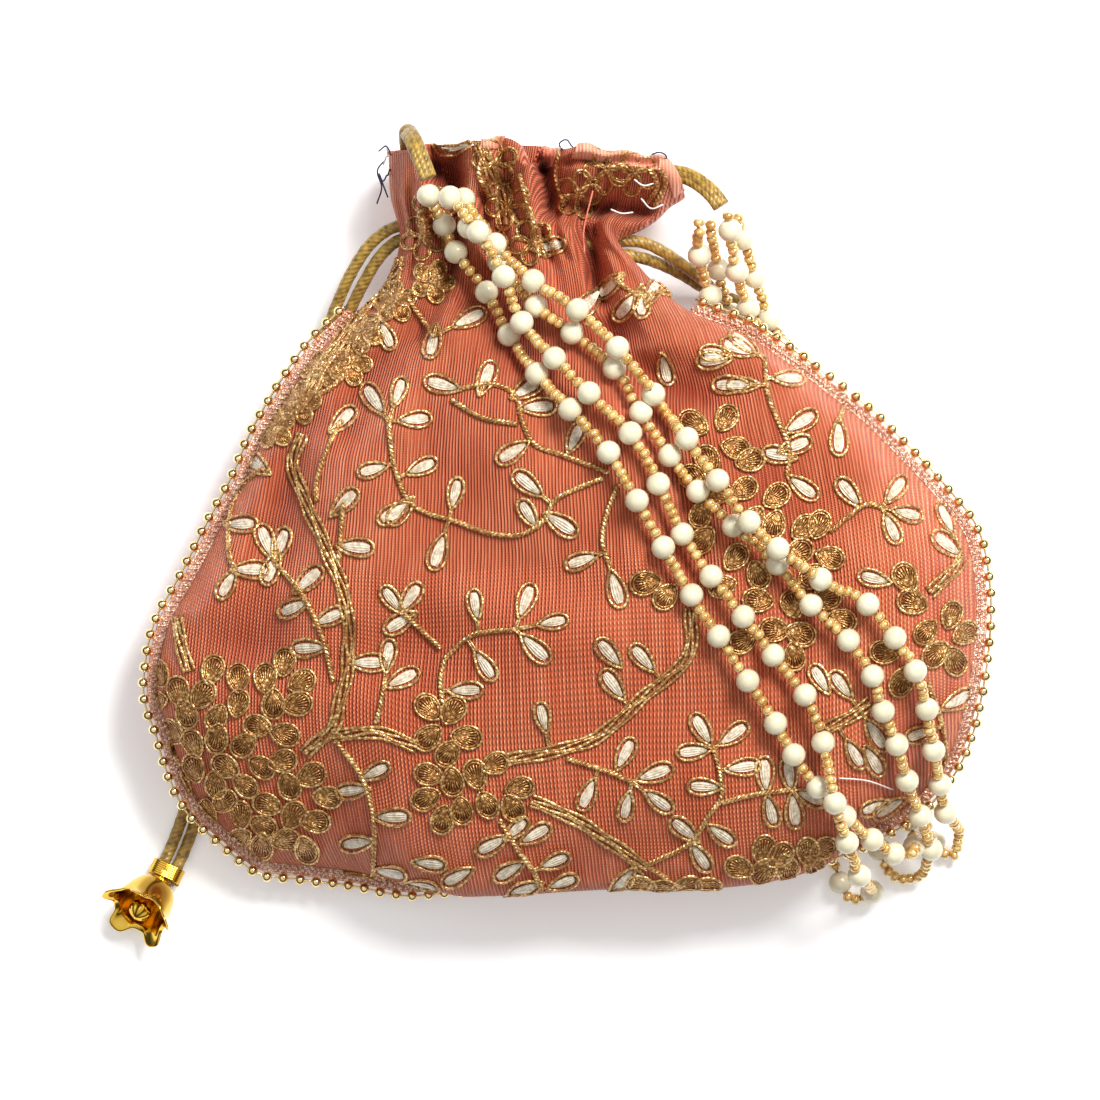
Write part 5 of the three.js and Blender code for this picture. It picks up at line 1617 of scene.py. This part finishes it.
for name, line in strand_lines.items():
    over, _ = strands[name]
    at = sorted(line.share_near(spot(p)) * line.length for p in over)
    at = [s for i, s in enumerate(at) if i == 0 or s - at[i - 1] > pearl_diameter * closest_pearls]
    at.append(at[-1] + turn_seeds)
    while at[-1] + pearl_pitch < line.length - pearl_diameter * last_pearl:
        at.append(at[-1] + pearl_pitch)
    at = np.array(at)
    pearl_places = line.at(at / line.length)
    pearl_ways = ways_along(line, at)
    pearl_shape = Shape()
    radius = pearl_diameter / 2
    pearl_turns = turned(pearl_ways, (radius, radius * 0.97))
    pearl_shape.solids(pearl_points, pearl_faces, (pearl_turns, pearl_places))
    number = name[-1]
    pearls = pearl_shape.object(f"pearls_{number}", pearl_finish, "pearls")

    seed_at = []
    stops = [-pearl_diameter / 2, *at, line.length + pearl_diameter / 2]
    for a, b in zip(stops[:-1], stops[1:]):
        free = b - a - pearl_diameter
        count = round(free / seed_pitch)
        seed_at.extend(a + pearl_diameter / 2 + free * (np.arange(count) + 0.5) / max(1, count))
    seed_at = np.array(seed_at)
    seed_places = line.at(seed_at / line.length)
    seed_places = seed_places + rng.normal(0, seed_waver, seed_places.shape)
    seed_ways = unit(ways_along(line, seed_at))
    seed_ways = seed_ways + rng.normal(0, seed_tilt, seed_ways.shape)
    seed_shape = Shape()
    seed_turns = turned(seed_ways, (seed_diameter / 2, seed_pitch * 0.94))
    seed_shape.solids(seed_points, seed_faces, (seed_turns, seed_places))
    seeds = seed_shape.object(f"seeds_{number}", seed_finish, "pearls")

    thread = Shape()
    path = line.even(0.001)
    thread.tube(path, strand_thread / 2, sides=6)
    string = thread.object(f"strand_thread_{number}", satin, "satin_cord", [name])


# Handle loops
# A satin band at each side, three braided cords wide and sewn inside the frill. The two
# carry the ends of the pearl strands.
loop_points = {
    "left": [
        (412, 172, 0.014), (409, 150, 0.018), (408, 138.5, 0.024), (410, 137, 0.031),
        (416, 148, 0.036), (424, 168, 0.0385), (430, 184, 0.0395),
    ],
    "right": [
        (646, 180, 0.017), (668, 174, 0.018), (686, 177, 0.0205), (702, 187, 0.023),
        (714, 199, 0.0245), (720, 208, 0.025),
    ],
}
loop_diameter = 0.0026
loop_spread = 0.42
outer_cord_share = 0.86
for side, points in loop_points.items():
    loop = Shape()
    line = Line(spots(points)).even(0.0006)
    for shift in (-1, 0, 1):
        aside = aside_of(line) * shift * loop_diameter * loop_spread
        share = 1.0 if shift == 0 else outer_cord_share
        loop.tube(line + aside, loop_diameter / 2 * share, sides=10)
    loop.object(f"{side}_satin_loop", satin, "satin_cord", [f"{side}_handle_loop"])


# Hem and a fold highlight
# A narrow peach hem closes the lip of the frill. The turned lip at the right of the mouth shows it,
# and so does a fold further left. A peach band on the V fold between them is a painted highlight.
peach_shades = [(0.2, (0.66, 0.17, 0.08)), (0.5, (0.86, 0.36, 0.23)), (0.85, (0.95, 0.56, 0.4))]
peach_silk = woven_silk("peach_silk", peach_shades, rib_pitch=0.0009, rib_depth=0.0001)
hem_lift = 0.0006
hem_roundness = 0.0012
# The hem at the right lip, a painted highlight on the V fold, and the hem on a fold further left
hem_and_highlight_bands = [(0.6, 0.985, 0.02), (0.5, 0.545, 0.03), (0.3, 0.37, 0.014)]
hem_and_highlights = Shape()
for first, last, depth in hem_and_highlight_bands:
    s = np.linspace(0, 1, 9)[:, None]
    u, w = np.broadcast_arrays(np.linspace(first, last, 120)[None], s * depth)
    band = front_surface(u, w)
    ends = np.sqrt(np.sin(np.linspace(0.02, math.pi - 0.02, 120)))[None]
    band[..., 2] += hem_lift + hem_roundness * np.sin(math.pi * s) * ends
    band[..., 1] += 0.0005 * (1 - s)
    hem_and_highlights.grid(band, flat=band[..., :2])
thick_panel(hem_and_highlights, "peach_hem_and_highlights", peach_silk, "coral_silk", ())


# Stray threads
# Loose ends of navy, white and coral sewing thread at the frill, and one white thread that
# has pulled out of the front at the lower right
stray_threads = {
    "navy": [
        [(386, 160, 0.02), (378, 172, 0.022), (382, 188, 0.02), (377, 204, 0.018)],
        [(390, 170, 0.024), (384, 184, 0.026), (380, 176, 0.025), (388, 198, 0.02)],
        [(392, 158, 0.028), (388, 150, 0.03), (380, 154, 0.027)],
        [(563, 156, 0.031), (559, 148, 0.032), (566, 144, 0.032), (572, 152, 0.033)],
        [(650, 160, 0.036), (658, 158, 0.037), (665, 162, 0.036), (663, 168, 0.035)],
    ],
    "white": [
        [(384, 142, 0.024), (388, 154, 0.026), (384, 166, 0.022)],
        [(633, 184, 0.036), (642, 190, 0.037), (652, 188, 0.036)],
        [(610, 213, 0.034), (621, 217, 0.036), (632, 216, 0.035)],
        [(640, 202, 0.035), (650, 212, 0.034), (662, 208, 0.033)],
    ],
    "coral": [[(592, 196, 0.04), (583, 237, 0.04), (584, 257, 0.039)]],
}
# Each thread's colour and the darker shade that it drifts to
thread_shades = {
    "navy": [(0.02, 0.03, 0.09), (0.01, 0.015, 0.04)],
    "white": [(0.9, 0.88, 0.84), (0.7, 0.68, 0.62)],
    "coral": [(0.8, 0.25, 0.16), (0.6, 0.12, 0.07)],
}
thread_finishes = {
    color: plain_finish(f"{color}_thread", *shades, grain=500.0)
    for color, shades in thread_shades.items()
}
stray_radius = 0.00022
stray_lift = 0.0009
stray_play = 0.002
pulled_points = [(834, 774), (862, 777), (889, 787)]
pulled_radius = 0.0002
pulled_lift = 0.0011
for color, routes in stray_threads.items():
    shape = Shape()
    for points in routes:
        line = Line(spots(points)).even(0.0006)
        cloth = cloth_height(line)
        height = np.where(cloth > lowest_cloth, cloth + stray_lift, line[:, 2])
        lowest, highest = line[:, 2].min() - stray_play, line[:, 2].max() + stray_play
        line[:, 2] = np.clip(height, lowest, highest)
        shape.tube(line, stray_radius, sides=5)
    shape.object(f"{color}_stray_threads", thread_finishes[color], "gold_thread")
pulled = Shape()
pulled_line = draped(Line(spots(pulled_points)).even(0.0006), pulled_lift)
pulled.tube(pulled_line, pulled_radius, sides=5)
pulled.object("pulled_thread", thread_finishes["white"], "gold_thread")


# Studio
# A white floor and a white surround. A soft key light stands at the upper right and a weak
# fill light at the upper left. Each has its place, its width in metres and its watts.
floor_material, _, _ = nodes_of(
    "white_floor",
    Roughness=0.9,
    Base_Color=(0.92, 0.92, 0.92, 1),
    Emission_Color=(1, 1, 1, 1),
    Emission_Strength=0.22,
)
bpy.ops.mesh.primitive_plane_add(size=8, location=(0, 0, -0.0001))
floor = bpy.context.active_object
floor.name = "floor"
floor.data.materials.append(floor_material)
lights = [
    ("key_light", (0.45, 0.65, 1.0), 0.5, 21.0),
    ("fill_light", (-0.6, 0.3, 1.3), 0.9, 1.0),
]
for name, place, size, power in lights:
    data = bpy.data.lights.new(name, "AREA")
    data.shape = "DISK"
    data.size = size
    data.energy = power
    light = bpy.data.objects.new(name, data)
    light.location = place
    light.rotation_euler = (-Vector(place)).to_track_quat("-Z", "Y").to_euler()
    bpy.context.scene.collection.objects.link(light)
world = bpy.data.worlds.new("studio")
world.use_nodes = True
bpy.context.scene.world = world
sky = world.node_tree
background = sky.nodes["Background"]
path = wire(sky, "ShaderNodeLightPath")
direction = wire(sky, "ShaderNodeTexCoord").outputs["Generated"]
upward = wire(sky, "ShaderNodeSeparateXYZ", {"Vector": direction}).outputs["Z"]
sky_shades = [
    (0.0, (0.3, 0.29, 0.28)),
    (0.2, (0.05, 0.05, 0.05)),
    (0.5, (0.08, 0.08, 0.08)),
    (0.8, (0.8, 0.8, 0.8)),
]
dome = ramp(sky, upward, sky_shades)
seen = wire(sky, "ShaderNodeMix", {"Factor": path.outputs["Is Camera Ray"]}, data_type="RGBA")
sky.links.new(dome, seen.inputs[6])
seen.inputs[7].default_value = (1, 1, 1, 1)
sky.links.new(seen.outputs[2], background.inputs["Color"])
background.inputs["Strength"].default_value = 1.0
bpy.context.scene.view_settings.view_transform = "Standard"
